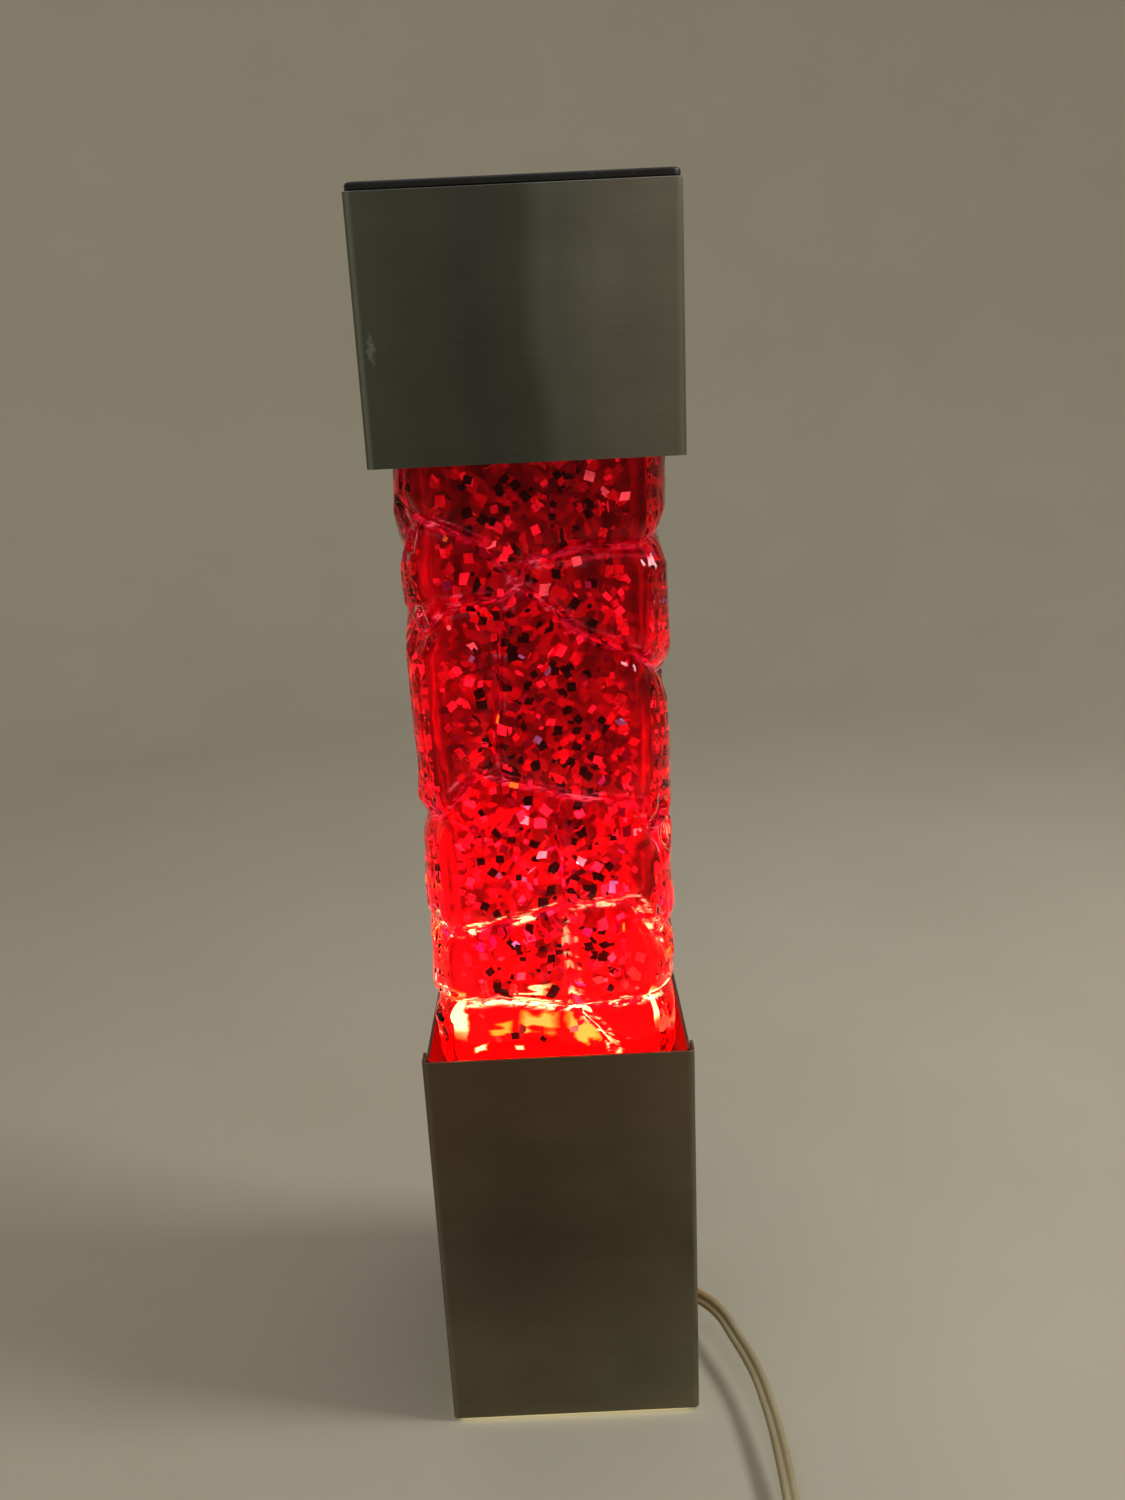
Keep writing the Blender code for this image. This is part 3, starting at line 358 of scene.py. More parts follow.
# Painted streaks of the bulb's light in the foot, on each face, in millimetres: across, up,
# half width, half height, lean, and yellow at 0 to white at 1
STREAKS = [
    (-11.0, 168.5, 10.0, 0.8, 0.03, 0.9), (-8.0, 161.0, 12.5, 0.9, -0.02, 1.0),
    (-6.0, 155.0, 7.0, 2.6, -0.1, 0.25), (7.5, 151.5, 5.5, 3.0, -0.7, 0.2),
    (14.0, 154.0, 9.0, 1.3, -0.85, 0.95), (-31.5, 161.0, 2.2, 9.0, 0.0, 1.0),
    (-26.0, 147.8, 2.0, 1.3, 0.0, 1.0), (-13.0, 147.4, 1.9, 1.2, 0.0, 1.0),
    (-19.0, 153.5, 4.0, 1.6, 0.1, 0.1),
]


def liquid_glow():
    """The far depth of the liquid, painted as a glow: emission for the light that hundreds of
    flakes have scattered.
    """
    f = Finish("liquid_glow", (0.02, 0.0, 0.0), 0.6, Specular_IOR_Level=0.0)
    (low, most), (high, _) = GLOW[0], GLOW[-1]
    place = f.between(f.axis("Z"), low, high)
    strength = f.ramp(place, *[((z - low) / (high - low), g / most) for z, g in GLOW])
    cells = {"Vector": f.scaled((420, 420, 420)), "Scale": 1.0, "Randomness": 1.0}
    shade = f.node("SeparateColor", {0: f.node("TexVoronoi", cells, "Color")})
    flecks = f.ramp(shade, (0.0, 0.30), (0.35, 0.6), (0.62, 1.0), (0.86, 1.4), (1.0, 2.4))
    soft = f.ramp(f.noise((75, 75, 60), detail=3.0, seed=3.0), (0.3, 0.45), (0.7, 1.55))
    # Painted upright streaks of light in the corners
    x, y = f.axis("X"), f.axis("Y")
    corner = f.between(f.math("MINIMUM", f.size(x), f.size(y)), 0.024, 0.031)
    upright = f.noise((420, 420, 30), detail=3.0, seed=19.0)
    upright = f.ramp(upright, (0.36, 0.3), (0.5, 0.8), (0.66, 2.6))
    flecks = f.blend(corner, flecks, f.blend(0.75, flecks, upright))
    hue = f.ramp(
        place, (0.0, (1.0, 0.004, 0.004)), (0.25, (1.0, 0.003, 0.008)),
        (0.5, (1.0, 0.002, 0.014)), (1.0, (1.0, 0.002, 0.03)),
    )
    foot = f.between(f.axis("Z"), FOOT[1], FOOT[0])
    power = f.times(f.blend(foot, f.times(flecks, soft), (0.9, 0.9, 0.9)), f.times(strength, most))
    # Streaks lie on whichever face looks most squarely outwards
    facing = f.math("GREATER_THAN", f.size(x), f.size(y))
    across = f.math("ADD", f.times(y, facing), f.times(x, f.math("SUBTRACT", 1.0, facing)))
    wobble = f.line(f.noise((160, 160, 300), detail=3.0, seed=23.0), 0.004, -0.002)
    across, up = f.math("ADD", across, wobble), f.math("ADD", f.axis("Z"), wobble)
    lit = pale = 0.0
    for at, level, wide, tall, lean, white in STREAKS:
        off = f.math("SUBTRACT", across, at * MM)
        above = f.math("SUBTRACT", up, f.line(off, lean, level * MM))
        farthest = f.math(
            "MAXIMUM", f.math("DIVIDE", f.size(off), wide * MM),
            f.math("DIVIDE", f.size(above), tall * MM),
        )
        mask = f.between(farthest, 1.0, 0.55)
        lit = f.math("MAXIMUM", mask, lit)
        pale = f.math("MAXIMUM", f.times(mask, white), pale)
    # The liquid's own red takes most of the green and blue out of these on the way to the glass
    yellow = f.blend(pale, (0.8, 0.85, 0.01), (0.5, 1.0, 0.45))
    f.set(
        Emission_Color=f.blend(lit, hue, yellow),
        Emission_Strength=f.math("ADD", power, f.line(pale, 5.0, f.times(lit, 0.5))),
    )
    return f.data


def flake_finish():
    """Metallised film. Each flake's own colour and the light it catches, painted on as emission,
    are on its corners.
    """
    f = Finish("glitter_film", Metallic=0.6)
    uneven = f.ramp(f.noise(500), (0.3, 0.7), (0.7, 1.3))
    f.set(
        Base_Color=f.tinted(f.painted("tint"), uneven),
        Emission_Color=f.tinted(f.painted("glow"), uneven), Emission_Strength=1.0,
        Roughness=f.varied(f.noise(800), 0.2, 0.4),
    )
    return f.data


def lit_bulb():
    """Inside-frosted bulb glass, hottest round the filament's height."""
    f = Finish("lit_bulb", (0.9, 0.82, 0.7), 0.35)
    heat = f.between(f.axis("Z"), 0.041, 0.105)
    heat = f.ramp(heat, (0.0, 0.12), (0.35, 0.55), (0.6, 1.0), (1.0, 0.6))
    cloud = f.ramp(f.noise(80, detail=3.0), (0.3, 0.85), (0.7, 1.1))
    f.set(Emission_Color=(1.0, 0.62, 0.27), Emission_Strength=f.times(heat, cloud, 14.0))
    return f.data


def floor_finish():
    f = Finish("studio_floor")
    cloud = f.noise(9, detail=3.0)
    f.set(
        Base_Color=f.blend(f.patches(cloud, 0.3, 0.7), (0.60, 0.573, 0.475), (0.625, 0.598, 0.50)),
        Normal=f.bump(f.noise(700, detail=3.0, seed=2.0), 0.03 * MM, 0.3),
        Roughness=f.varied(cloud, 0.5, 0.6),
    )
    return f.data


# Pieces

def piece(name, mesh, material, body, nodes, sharp=38, at=None):
    """Adds a mesh as a piece that rides on a body and stands for CAD nodes."""
    mesh.name = name
    for one in material if isinstance(material, tuple) else (material,):
        mesh.materials.append(one)
    mesh.shade_smooth()
    if sharp:
        mesh.set_sharp_from_angle(angle=math.radians(sharp))
    obj = add(name, mesh, at)
    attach(obj, body)
    if nodes:
        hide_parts(*nodes)
    return obj


def finished(bm):
    bmesh.ops.recalc_face_normals(bm, faces=bm.faces[:])
    mesh = bpy.data.meshes.new("piece")
    bm.to_mesh(mesh)
    bm.free()
    return mesh


def skin(rings, closed=False):
    """A mesh through rings of equally many points: closed up end to end, or else with flat ends."""
    rings = np.asarray(rings, float)
    rows, around = rings.shape[:2]
    index = [*np.arange(rows * around).reshape(rows, around)]
    faces = []
    for a, b in zip(index, index[1:] + index[:1] if closed else index[1:]):
        faces += np.stack([a, np.roll(a, -1), np.roll(b, -1), b], 1).tolist()
    if not closed:
        faces += [index[0][::-1].tolist(), index[-1].tolist()]
    mesh = bpy.data.meshes.new("rings")
    mesh.from_pydata(rings.reshape(-1, 3).tolist(), [], faces)
    bm = bmesh.new()
    bm.from_mesh(mesh)
    bpy.data.meshes.remove(mesh)
    return finished(bm)


def turned(profile, steps=64, ring=False):
    """A (radius, height) profile in millimetres, turned about Z. Points on the axis are poles."""
    bm = bmesh.new()
    angles = np.linspace(0, TURN, steps, endpoint=False)
    rows = []
    for r, z in np.array(profile) * MM:
        corners = angles if r > 1e-7 else angles[:1]
        rows.append([bm.verts.new((r * math.cos(a), r * math.sin(a), z)) for a in corners])
    for a, b in zip(rows, rows[1:] + rows[:1] if ring else rows[1:]):
        for i in range(steps):
            j = (i + 1) % steps
            face = a[i % len(a)], a[j % len(a)], b[j % len(b)], b[i % len(b)]
            if len(set(face)) > 2:
                bm.faces.new(list(dict.fromkeys(face)))
    return finished(bm)


def level_ring(x, y, z):
    return np.column_stack([x, y, np.full(len(x), z)])


def round_ring(radius, angles, z):
    return level_ring(radius * np.cos(angles), radius * np.sin(angles), z)


def superellipse(angles, power):
    """Points at these angles of a circle that a high power makes square, of half width 1."""
    c, s = np.cos(angles), np.sin(angles)
    size = (np.abs(c) ** power + np.abs(s) ** power) ** (1 / power)
    return c / size, s / size


def arc(cx, cy, radius, start, end, steps):
    angles = np.radians(np.linspace(start, end, steps + 1))
    return [(cx + radius * math.cos(a), cy + radius * math.sin(a)) for a in angles]


def rounded_square(half_x, half_y, radius, z, steps=8):
    points = []
    for sx, sy, start in ((1, 1, 0), (-1, 1, 90), (-1, -1, 180), (1, -1, 270)):
        cx, cy = sx * (half_x - radius), sy * (half_y - radius)
        points += arc(cx, cy, radius, start, start + 90, steps)
    return level_ring(*np.transpose(points), z)


def box(node):
    """A CAD node's low and high corners, middle and half size."""
    low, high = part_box(node)
    return low, high, (low + high) / 2, (high - low) / 2


# Cord: a flat twin flex. The points repeat part.py's routes, in millimetres

CORD_WIDTH, CORD_THICK = 5.5 * MM, 2.8 * MM
EXIT = (45.3, -2.5, 14)
LEAD = [
    (42.5, -2.3, 14), EXIT, (47.4, -3.2, 14), (50.6, -5.8, 14), (54.6, -10, 14),
    (57.8, -15.4, 13.9), (61, -24.6, 13.7), (64.3, -34.2, 13.3), (66.6, -43.2, 12.8),
    (68, -53, 12.2), (68.8, -61.5, 11.6), (69.2, -71, 10.8), (69.3, -80, 9.9), (69.2, -89, 8.8),
    (69, -97, 7.7), (69, -104.7, 7),
]
THROUGH_SWITCH = [(69, -117, 7), (69, -129, 7), (69, -141, 7)]
LINK = [
    (69, -153.6, 7), (68.8, -160, 6.3), (66.4, -167.5, 4.6), (61.5, -174.5, 3.4),
    (54.5, -180.3, 3.0), (46, -184.0, 2.9), (36, -185.6, 2.9), (25.5, -185.4, 3),
]
TAIL = [
    (-2, -186.2, 9.4), (-9, -185.2, 9.0), (-17, -183, 8.4), (-26, -179.6, 7.6),
    (-33.4, -174.4, 7.2), (-38.8, -168.0, 7), (-40, -160.8, 7), (-40, -152, 7),
]
COIL_X, COIL_Y, COIL_RADIUS, LAYER = 10.0, -150.0, 29.0, 2.9
COIL_LOW, COIL_HIGH = 3.3, 9.4  # middles of the two layers
# Each turn's column, from the coil's middle radius. The tail starts from the last one
COLUMNS = [1.5, 0.5, -0.5, -1.5, -1.5, -0.5, 0.5, 1.5, 2.5]
CLIMBING_TURN, STEPS_A_TURN = 3, 36
TIE_ANGLE, TIE_LIFT = math.pi, 0.5  # where the tie is on each turn, and how it raises the cord


def eased(share, start):
    """From 0 at start to 1 at the end of a turn, smoothly."""
    t = np.clip((share - start) / (1 - start), 0, 1)
    return t * t * (3 - 2 * t)


def coil_points():
    """Eight turns, clockwise from above: the lower layer inwards, then the upper one outwards."""
    points = []
    for turn, (column, following) in enumerate(zip(COLUMNS, COLUMNS[1:])):
        for share in np.arange(STEPS_A_TURN) / STEPS_A_TURN:
            radius = COIL_RADIUS + LAYER * (column + (following - column) * eased(share, 0.86))
            climbed = eased(share, 0.8) if turn == CLIMBING_TURN else turn > CLIMBING_TURN
            angle = TURN * share
            z = COIL_LOW + (COIL_HIGH - COIL_LOW) * climbed
            z += TIE_LIFT * math.exp(-((angle - TIE_ANGLE) / 0.4) ** 2)
            points.append((COIL_X - radius * math.sin(angle), COIL_Y - radius * math.cos(angle), z))
    return points


def lengths_along(points):
    return np.concatenate([[0], np.cumsum(np.linalg.norm(np.diff(points, axis=0), axis=1))])


def smooth_path(route, spacing):
    """Evenly spaced points on a smooth curve through a route, and how far along each is."""
    route = np.array(route, float) * MM
    along = lengths_along(route)
    slope = np.gradient(route, along, axis=0)
    t = np.linspace(0, 1, 10, endpoint=False)[:, None]
    ends = 2 * t**3 - 3 * t**2 + 1, 3 * t**2 - 2 * t**3
    pulls = t**3 - 2 * t**2 + t, t**3 - t**2
    fine = [
        ends[0] * route[i] + pulls[0] * span * slope[i]
        + ends[1] * route[i + 1] + pulls[1] * span * slope[i + 1]
        for i, span in enumerate(np.diff(along))
    ]
    fine = np.concatenate([*fine, route[-1:]])
    along = lengths_along(fine)
    at = np.linspace(0, along[-1], round(along[-1] / spacing) + 1)
    return np.column_stack([np.interp(at, along, fine[:, k]) for k in range(3)]), at


def flex_section():
    """Two lobes with a groove between them, as (across, up)."""
    lobe, middle = CORD_THICK / 2, (CORD_WIDTH - CORD_THICK) / 2
    right = arc(middle, 0, lobe, -132, 132, 12)
    left = [(-x, y) for x, y in right[::-1]]
    return np.array([*right, (0, 0.62 * lobe), *left, (0, -0.62 * lobe)])


# How far the wide side leans from level, in degrees, at places along the cord in millimetres
LEAN = [
    (0, 62), (8, 55), (30, 36), (60, 28), (95, 6), (165, 0), (190, 30), (225, 90), (1700, 90),
    (1740, 40), (1770, 0),
]


def unit(vectors):
    return vectors / np.linalg.norm(vectors, axis=-1, keepdims=True)


def make_cord(finish):
    route = LEAD + THROUGH_SWITCH + LINK + coil_points() + TAIL
    path, along = smooth_path(route, 2.2 * MM)
    tangent = unit(np.gradient(path, axis=0))
    level = unit(np.cross((0, 0, 1), tangent))
    places, leans = np.transpose(LEAN)
    lean = np.radians(np.interp(along, places * MM, leans))[:, None]
    wide = np.cos(lean) * level + np.sin(lean) * np.cross(tangent, level)
    thin = np.cross(wide, tangent)
    across, up = flex_section().T[:, None, :, None]
    rings = path[:, None] + across * wide[:, None] + up * thin[:, None]
    nodes = "cord_lead", "cord_link", "cord_coil", "cord_tail"
    mesh = skin(rings)
    return piece("twin_flex", mesh, finish, "base", nodes, sharp=60), path, along[-1]


# Switch, plug and tie on the cord

def evaluated(obj):
    """The mesh that the object's modifiers or curve make."""
    bpy.context.view_layer.update()
    return bpy.data.meshes.new_from_object(
        obj.evaluated_get(bpy.context.evaluated_depsgraph_get())
    )


def cut(obj, tool_mesh, at):
    tool = add("cutting_tool", tool_mesh, Matrix.Translation(at))
    boolean = obj.modifiers.new("cut", "BOOLEAN")
    boolean.object, boolean.operation = tool, "DIFFERENCE"
    made = evaluated(obj)
    obj.modifiers.clear()
    obj.data = made
    bpy.data.objects.remove(tool)


CASE_POWER, CASE_ENDS = 4.5, 9  # how square the switch's case is across, and in plan
FLUTES_ON_WHEEL, WHEEL_BORE = 20, 1.9 * MM


def half_case(flat_z, height, half, middle):
    """Half of the switch's case: a superellipse dome over a flat parting face."""
    across, up = superellipse(np.linspace(0, math.pi, 28), CASE_POWER)
    rings = []
    for v in np.linspace(-1, 1, 33):
        along = math.sin(v * math.pi / 2)
        size = max(0.55, max(0.0, 1 - abs(along) ** CASE_ENDS) ** (1 / CASE_ENDS))
        y = np.full(len(across), middle.y + half.y * along)
        x, z = middle.x + half.x * size * across, flat_z + height * size * up
        rings.append(np.column_stack([x, y, z]))
    return skin(rings)


def make_switch(plastic):
    low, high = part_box("switch_lower_case")[0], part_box("switch_upper_case")[1]
    middle, half = (low + high) / 2, (high - low) / 2
    _, _, pivot, wheel_half = box("switch_wheel")
    radius, seam = wheel_half.y, 0.15 * MM
    reach, deep = radius / MM + 0.6, wheel_half.z / MM + 0.3
    pocket = [(0, -deep), (reach, -deep), (reach, deep), (0, deep)]
    pieces = []
    for name, node, side in (
        ("switch_base", "switch_lower_case", -1), ("switch_cover", "switch_upper_case", 1)
    ):
        mesh = half_case(middle.z + side * seam, side * (half.z - seam), half, middle)
        obj = piece(name, mesh, plastic, "base", (node,))
        cut(obj, turned(pocket), pivot)
        pieces.append(obj)
    angles = np.linspace(0, TURN, 8 * FLUTES_ON_WHEEL, endpoint=False)
    flutes = 0.30 * MM * (1 - np.cos(FLUTES_ON_WHEEL * angles))
    rings = [
        round_ring(radius - inset * MM - flutes, angles, z * wheel_half.z)
        for z, inset in ((-1, 0.4), (-0.86, 0.0), (0.86, 0.0), (1, 0.4))
    ]
    rings += [round_ring(WHEEL_BORE, angles, z * wheel_half.z) for z in (1, -1)]
    wheel = piece(
        "thumb_wheel", skin(rings, closed=True), plastic, "switch_wheel_body",
        ("switch_wheel",), at=Matrix.Translation(pivot),
    )
    return pieces + [wheel]


# The plug's section in millimetres: back from its face, half width, half height, and how square
PLUG = np.transpose([
    (0, 11.2, 6.0, 5), (1, 12.0, 6.7, 5), (4, 12.4, 7.0, 5), (20, 12, 7.0, 4.5),
    (25, 9.0, 6.2, 3), (29, 6.0, 4.8, 2.5), (36, 4.4, 3.8, 2.2), (44, 3.3, 3.1, 2),
])
PLUG_RINGS = [
    0, 0.3, 1, 2, 4, 8, 12, 16, 18, 20, 21.5, 23, 24, 25, 26, 27.5, *np.arange(29, 44.1, 0.5)
]
RIBS, RIB_PITCH, RIB_DEPTH = (29, 43.5), 3, 0.13  # of the plug's strain relief
BLADE_BEVEL, BLADE_CORNER, BLADE_HOLE = 0.15 * MM, 1.6 * MM, 4 * MM
# Turns a blade drawn in X and Y, and raised along Z, to lie in Y and Z
UPRIGHT = Matrix(((0, 0, 1, 0), (1, 0, 0, 0), (0, 1, 0, 0), (0, 0, 0, 1)))


def plug_blade(node):
    low, high, mid, half = box(node)
    tip, bottom, top, corner = high.y, mid.z - half.z, mid.z + half.z, BLADE_CORNER
    outline = [
        (low.y, bottom), (tip - corner, bottom), (tip, bottom + corner), (tip, top - corner),
        (tip - corner, top), (low.y, top),
    ]
    curve = bpy.data.curves.new("blade", "CURVE")
    curve.dimensions, curve.fill_mode, curve.bevel_resolution = "2D", "BOTH", 1
    curve.extrude, curve.bevel_depth, curve.offset = 0.6 * MM, BLADE_BEVEL, -BLADE_BEVEL
    for points in (outline, arc(tip - BLADE_HOLE, mid.z, 1.6 * MM, 360, 15, 23)):
        spline = curve.splines.new("POLY")
        spline.points.add(len(points) - 1)
        for point, (y, z) in zip(spline.points, points):
            point.co = (y, z, 0, 1)
        spline.use_cyclic_u = True
    flat = add("blade", curve)
    mesh = evaluated(flat)
    bpy.data.objects.remove(flat)
    mesh.transform(Matrix.Translation((mid.x, 0, 0)) @ UPRIGHT)
    return mesh


def make_plug(plastic, brass):
    _, high, mid, _ = box("plug_body")
    angles = np.linspace(0, TURN, 64, endpoint=False)
    rings = []
    for back in PLUG_RINGS:
        half_x, half_z, power = (np.interp(back, PLUG[0], row) for row in PLUG[1:])
        c, s = superellipse(angles, power)
        groove = math.cos((back - RIBS[0]) * TURN / RIB_PITCH) < -0.2
        rib = MM * (1 - RIB_DEPTH * (RIBS[0] <= back < RIBS[1] and groove))
        y = np.full(len(angles), high.y - back * MM)
        rings.append(np.column_stack([mid.x + half_x * rib * c, y, mid.z + half_z * rib * s]))
    mesh = skin(rings)
    nodes = ("plug_body",)
    pieces = [piece("moulded_plug", mesh, plastic, "base", nodes, sharp=50)]
    for number in (1, 2):
        node = f"plug_blade_{number}"
        pieces.append(piece(f"blade_{number}", plug_blade(node), brass, "base", (node,)))
    return pieces


def make_tie(plastic):
    """A strap wrapped round the coil, with rounded edges."""
    _, _, mid, half = box("coil_tie")
    sheet = 0.6 * MM
    outline = rounded_square(half.y - sheet / 2, half.z - sheet / 2, 1.8 * MM, 0)[:, :2]
    flat = half.y - 2.1 * MM
    outward = unit(outline - np.clip(outline, -flat, flat))
    c, s = superellipse(np.linspace(0, TURN, 16, endpoint=False), 8)
    strap = outline[:, None] + outward[:, None] * (sheet / 2 * s)[:, None]
    across = np.broadcast_to(half.x * c, strap.shape[:2])
    rings = np.dstack([across, strap]) + np.array(mid)
    mesh = skin(rings, closed=True)
    return piece("cord_tie", mesh, plastic, "base", ("coil_tie",))


# Sheet-metal shells

WIDTH, SHEET, BEND, FLANGE = 90 * MM, 1.0 * MM, 1.8 * MM, 7 * MM


def channel(name, node, material, body, rear):
    low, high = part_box(node)
    half, end = WIDTH / 2, FLANGE - WIDTH / 2
    centre, inside, steps = half - BEND, BEND - SHEET, 10
    outline = [
        (-half, end), *arc(-centre, -centre, BEND, 180, 270, steps),
        *arc(centre, -centre, BEND, 270, 360, steps), (half, end),
        (half - SHEET, end), *arc(centre, -centre, inside, 360, 270, steps),
        *arc(-centre, -centre, inside, 270, 180, steps), (SHEET - half, end),
    ]
    x, y = np.transpose(outline) * (-1 if rear else 1)
    mesh = skin([level_ring(x, y, z) for z in (low.z, high.z)])
    obj = piece(name, mesh, material, body, (node,))
    edges = obj.modifiers.new("edges", "BEVEL")
    edges.width, edges.segments, edges.use_clamp_overlap = 0.14 * MM, 2, False
    edges.limit_method, edges.angle_limit = "ANGLE", math.radians(50)


LID_CORNER, LID_ROUND = 2.6, 0.8
# A shallow moulded border round the lid's top: inset and drop in millimetres
BORDER = [(3.0, 0.0), (3.35, 0.12), (3.9, 0.3), (4.6, 0.35), (12, 0.3), (30, 0.12), (42.5, 0.05)]


def make_lid(plastic):
    low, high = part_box("cap_lid")
    foot, plate, top = low.z / MM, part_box("cap_front_panel")[1].z / MM + 0.3, high.z / MM
    # Inset, corner and height of each ring of the skirt and of the plate
    skirt = [
        (1.6, 1.2, plate + 0.3), (1.6, 1.2, foot + 0.2), (1.4, 1.4, foot), (0.4, 2.0, foot),
        (0.0, 2.2, foot + 0.8), (0.0, 2.2, plate),
    ]
    cover = [(0.2, LID_CORNER, plate), (0.0, LID_CORNER, plate + 0.2)]
    for a in np.radians(range(0, 91, 18)):
        inset, down = LID_ROUND * (1 - math.cos(a)), LID_ROUND * (1 - math.sin(a))
        cover.append((inset, LID_CORNER - 0.4 * inset, top - down))
    cover += [(inset, max(1.0, LID_CORNER - 0.2 * inset), top - drop) for inset, drop in BORDER]
    rings = [(2, 2, 1, plate + 0.3)]
    for x, y, rows in ((41.4, 42.9, skirt), (high.x / MM, high.y / MM, cover)):
        rings += [(x - inset, y - inset, corner, z) for inset, corner, z in rows]
    mesh = skin([rounded_square(*row) for row in np.array(rings) * MM])
    piece("moulded_lid", mesh, plastic, "lid", ("cap_lid",), sharp=30)


SIDEWAYS = Matrix.Rotation(math.pi / 2, 4, "Y")


def make_rivets(material):
    for node in sorted(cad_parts):
        if "rivet" not in node:
            continue
        low, high, mid, _ = box(node)
        inner, outer = sorted((abs(low.x) / MM, abs(high.x) / MM))
        head, shank, seat, back = 2.3, 1.3, outer - 0.9, inner + 0.8
        dome = np.radians((82, 70, 55, 40, 20, 0))
        profile = [
            (0, outer - 0.02), *zip(head * np.cos(dome), seat + 0.22 + 0.68 * np.sin(dome)),
            (head, seat), (shank, seat), (shank, back), (0.85 * head, back),
            (0.8 * head, inner + 0.3), (0.5 * head, inner), (0.3 * head, inner + 0.35),
            (0, inner + 0.35),
        ]
        at = Matrix.Translation((0, mid.y, mid.z))
        at @= SIDEWAYS if high.x > 0 else SIDEWAYS.inverted()
        mesh, body = turned(profile, 36), "cap" if node.startswith("cap") else "base"
        piece(f"domed_{node}", mesh, material, body, (node,), at=at)


def make_feet(material):
    for number in range(1, 5):
        node = f"foot_pad_{number}"
        low, high, mid, half = box(node)
        r, top = half.x / MM, (high.z - low.z) / MM
        profile = [
            (0, 0.25), (0.35 * r, 0.25), (0.42 * r, 0), (0.55 * r, 0), (0.6 * r, 0.2),
            (0.68 * r, 0.2), (0.73 * r, 0), (r - 0.5, 0), (r - 0.1, 0.35), (r, 0.8),
            (r - 0.25, top), (0, top),
        ]
        mesh, at = turned(profile, 48), Matrix.Translation((mid.x, mid.y, low.z))
        piece(f"rubber_{node}", mesh, material, "base", (node,), at=at)


def make_grommet(material):
    low, high, mid, half = box("cord_grommet")
    rim, inner, outer = half.z / MM, low.x / MM, high.x / MM
    panel_in, panel_out, hole, neck, lip = 42.65, 43.75, 2.95, 4.1, 0.65
    curl = np.radians((90, 60, 30, 0))
    profile = [
        (hole + 0.35, outer),
        *zip(rim - lip + lip * np.cos(curl), 44 + (outer - 44) * np.sin(curl)),
        (rim, panel_out), (neck, panel_out), (neck, panel_in), (0.9 * rim, panel_in),
        (0.82 * rim, inner), (hole + 0.3, inner), (hole, inner + 0.4), (hole, outer - 0.4),
    ]
    mesh, at = turned(profile, 48, ring=True), Matrix.Translation((0, mid.y, mid.z))
    nodes = ("cord_grommet",)
    piece("rubber_grommet", mesh, material, "base", nodes, at=at @ SIDEWAYS)


# Bulb, in millimetres

THREAD_PITCH = 25.4 / 7
THREAD_MINOR, THREAD_MAJOR, SHELL_BORE = 12.4, 13.0, 11.8
BULB_OUTSIDE = [
    (0, 104.4), (4, 104.05), (8, 103.2), (12, 101.7), (15, 99.6), (18.2, 96.8), (20.5, 93.8),
    (22.3, 90.4), (23.4, 87), (24, 80.5), (23.8, 77), (23, 74), (21.7, 70.3), (20, 66.5),
    (16.8, 59), (14.2, 51), (12.9, 45.8), (12.2, 42), (11.4, 41.3), (11.4, 37),
]
BULB_INSIDE = [
    (10.7, 37), (10.7, 41.8), (11.5, 42.6), (13.5, 51.2), (16.1, 59.3), (19.3, 66.8),
    (22.3, 74.2), (23.3, 80.5), (22.7, 86.8), (19.9, 93.4), (14.6, 98.9), (7.8, 102.4), (0, 103.6),
]


def make_bulb(glass, metal):
    mesh = turned(BULB_OUTSIDE + BULB_INSIDE, 72)
    piece("bulb_envelope", mesh, glass, "bulb", ("bulb_glass",))

    low, high = (corner.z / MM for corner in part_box("bulb_screw_shell"))
    angles = np.linspace(0, TURN, 72, endpoint=False)
    rings = [round_ring(THREAD_MINOR - 0.3, angles, low)]
    for z in np.linspace(low + 0.6, high, 90):
        fade = np.interp(z, (low, low + 3, high - 3.5, high - 1.5), (0.2, 1, 1, 0))
        wave = 0.5 - 0.5 * np.cos(TURN * z / THREAD_PITCH - angles)
        thread = (THREAD_MAJOR - THREAD_MINOR) * fade * wave
        rings.append(round_ring(THREAD_MINOR + thread, angles, z))
    rings += [round_ring(SHELL_BORE, angles, z) for z in (high, low)]
    mesh = skin(np.array(rings) * MM, closed=True)
    piece("bulb_thread", mesh, metal, "bulb_shell", ("bulb_screw_shell",))


# Bottle: the same relief as part.py's, much finer

GROOVE_HALF_WIDTH, ROCK_HEIGHT, NOTCH_REACH, NOTCH_SHARE = 36.2 * MM, 4.6 * MM, 1.3 * MM, 0.36
ROCK_LOW, ROCK_HIGH, PLAIN_RISE = 146 * MM, 342 * MM, 0.6
WALL, INSIDE_ROCK, FACE = 2.7 * MM, 0.75, 76 * MM
GIRTH, AROUND = 4 * FACE, 440
CORNER_POWER = 7  # of the bottle's rounded square section
SHOULDER_START, NECK_START, NECK_TOP = 343 * MM, 362 * MM, 375 * MM
NECK_RADIUS, NECK_BORE, GLASS_FLOOR = 15 * MM, 11.5 * MM, 127 * MM
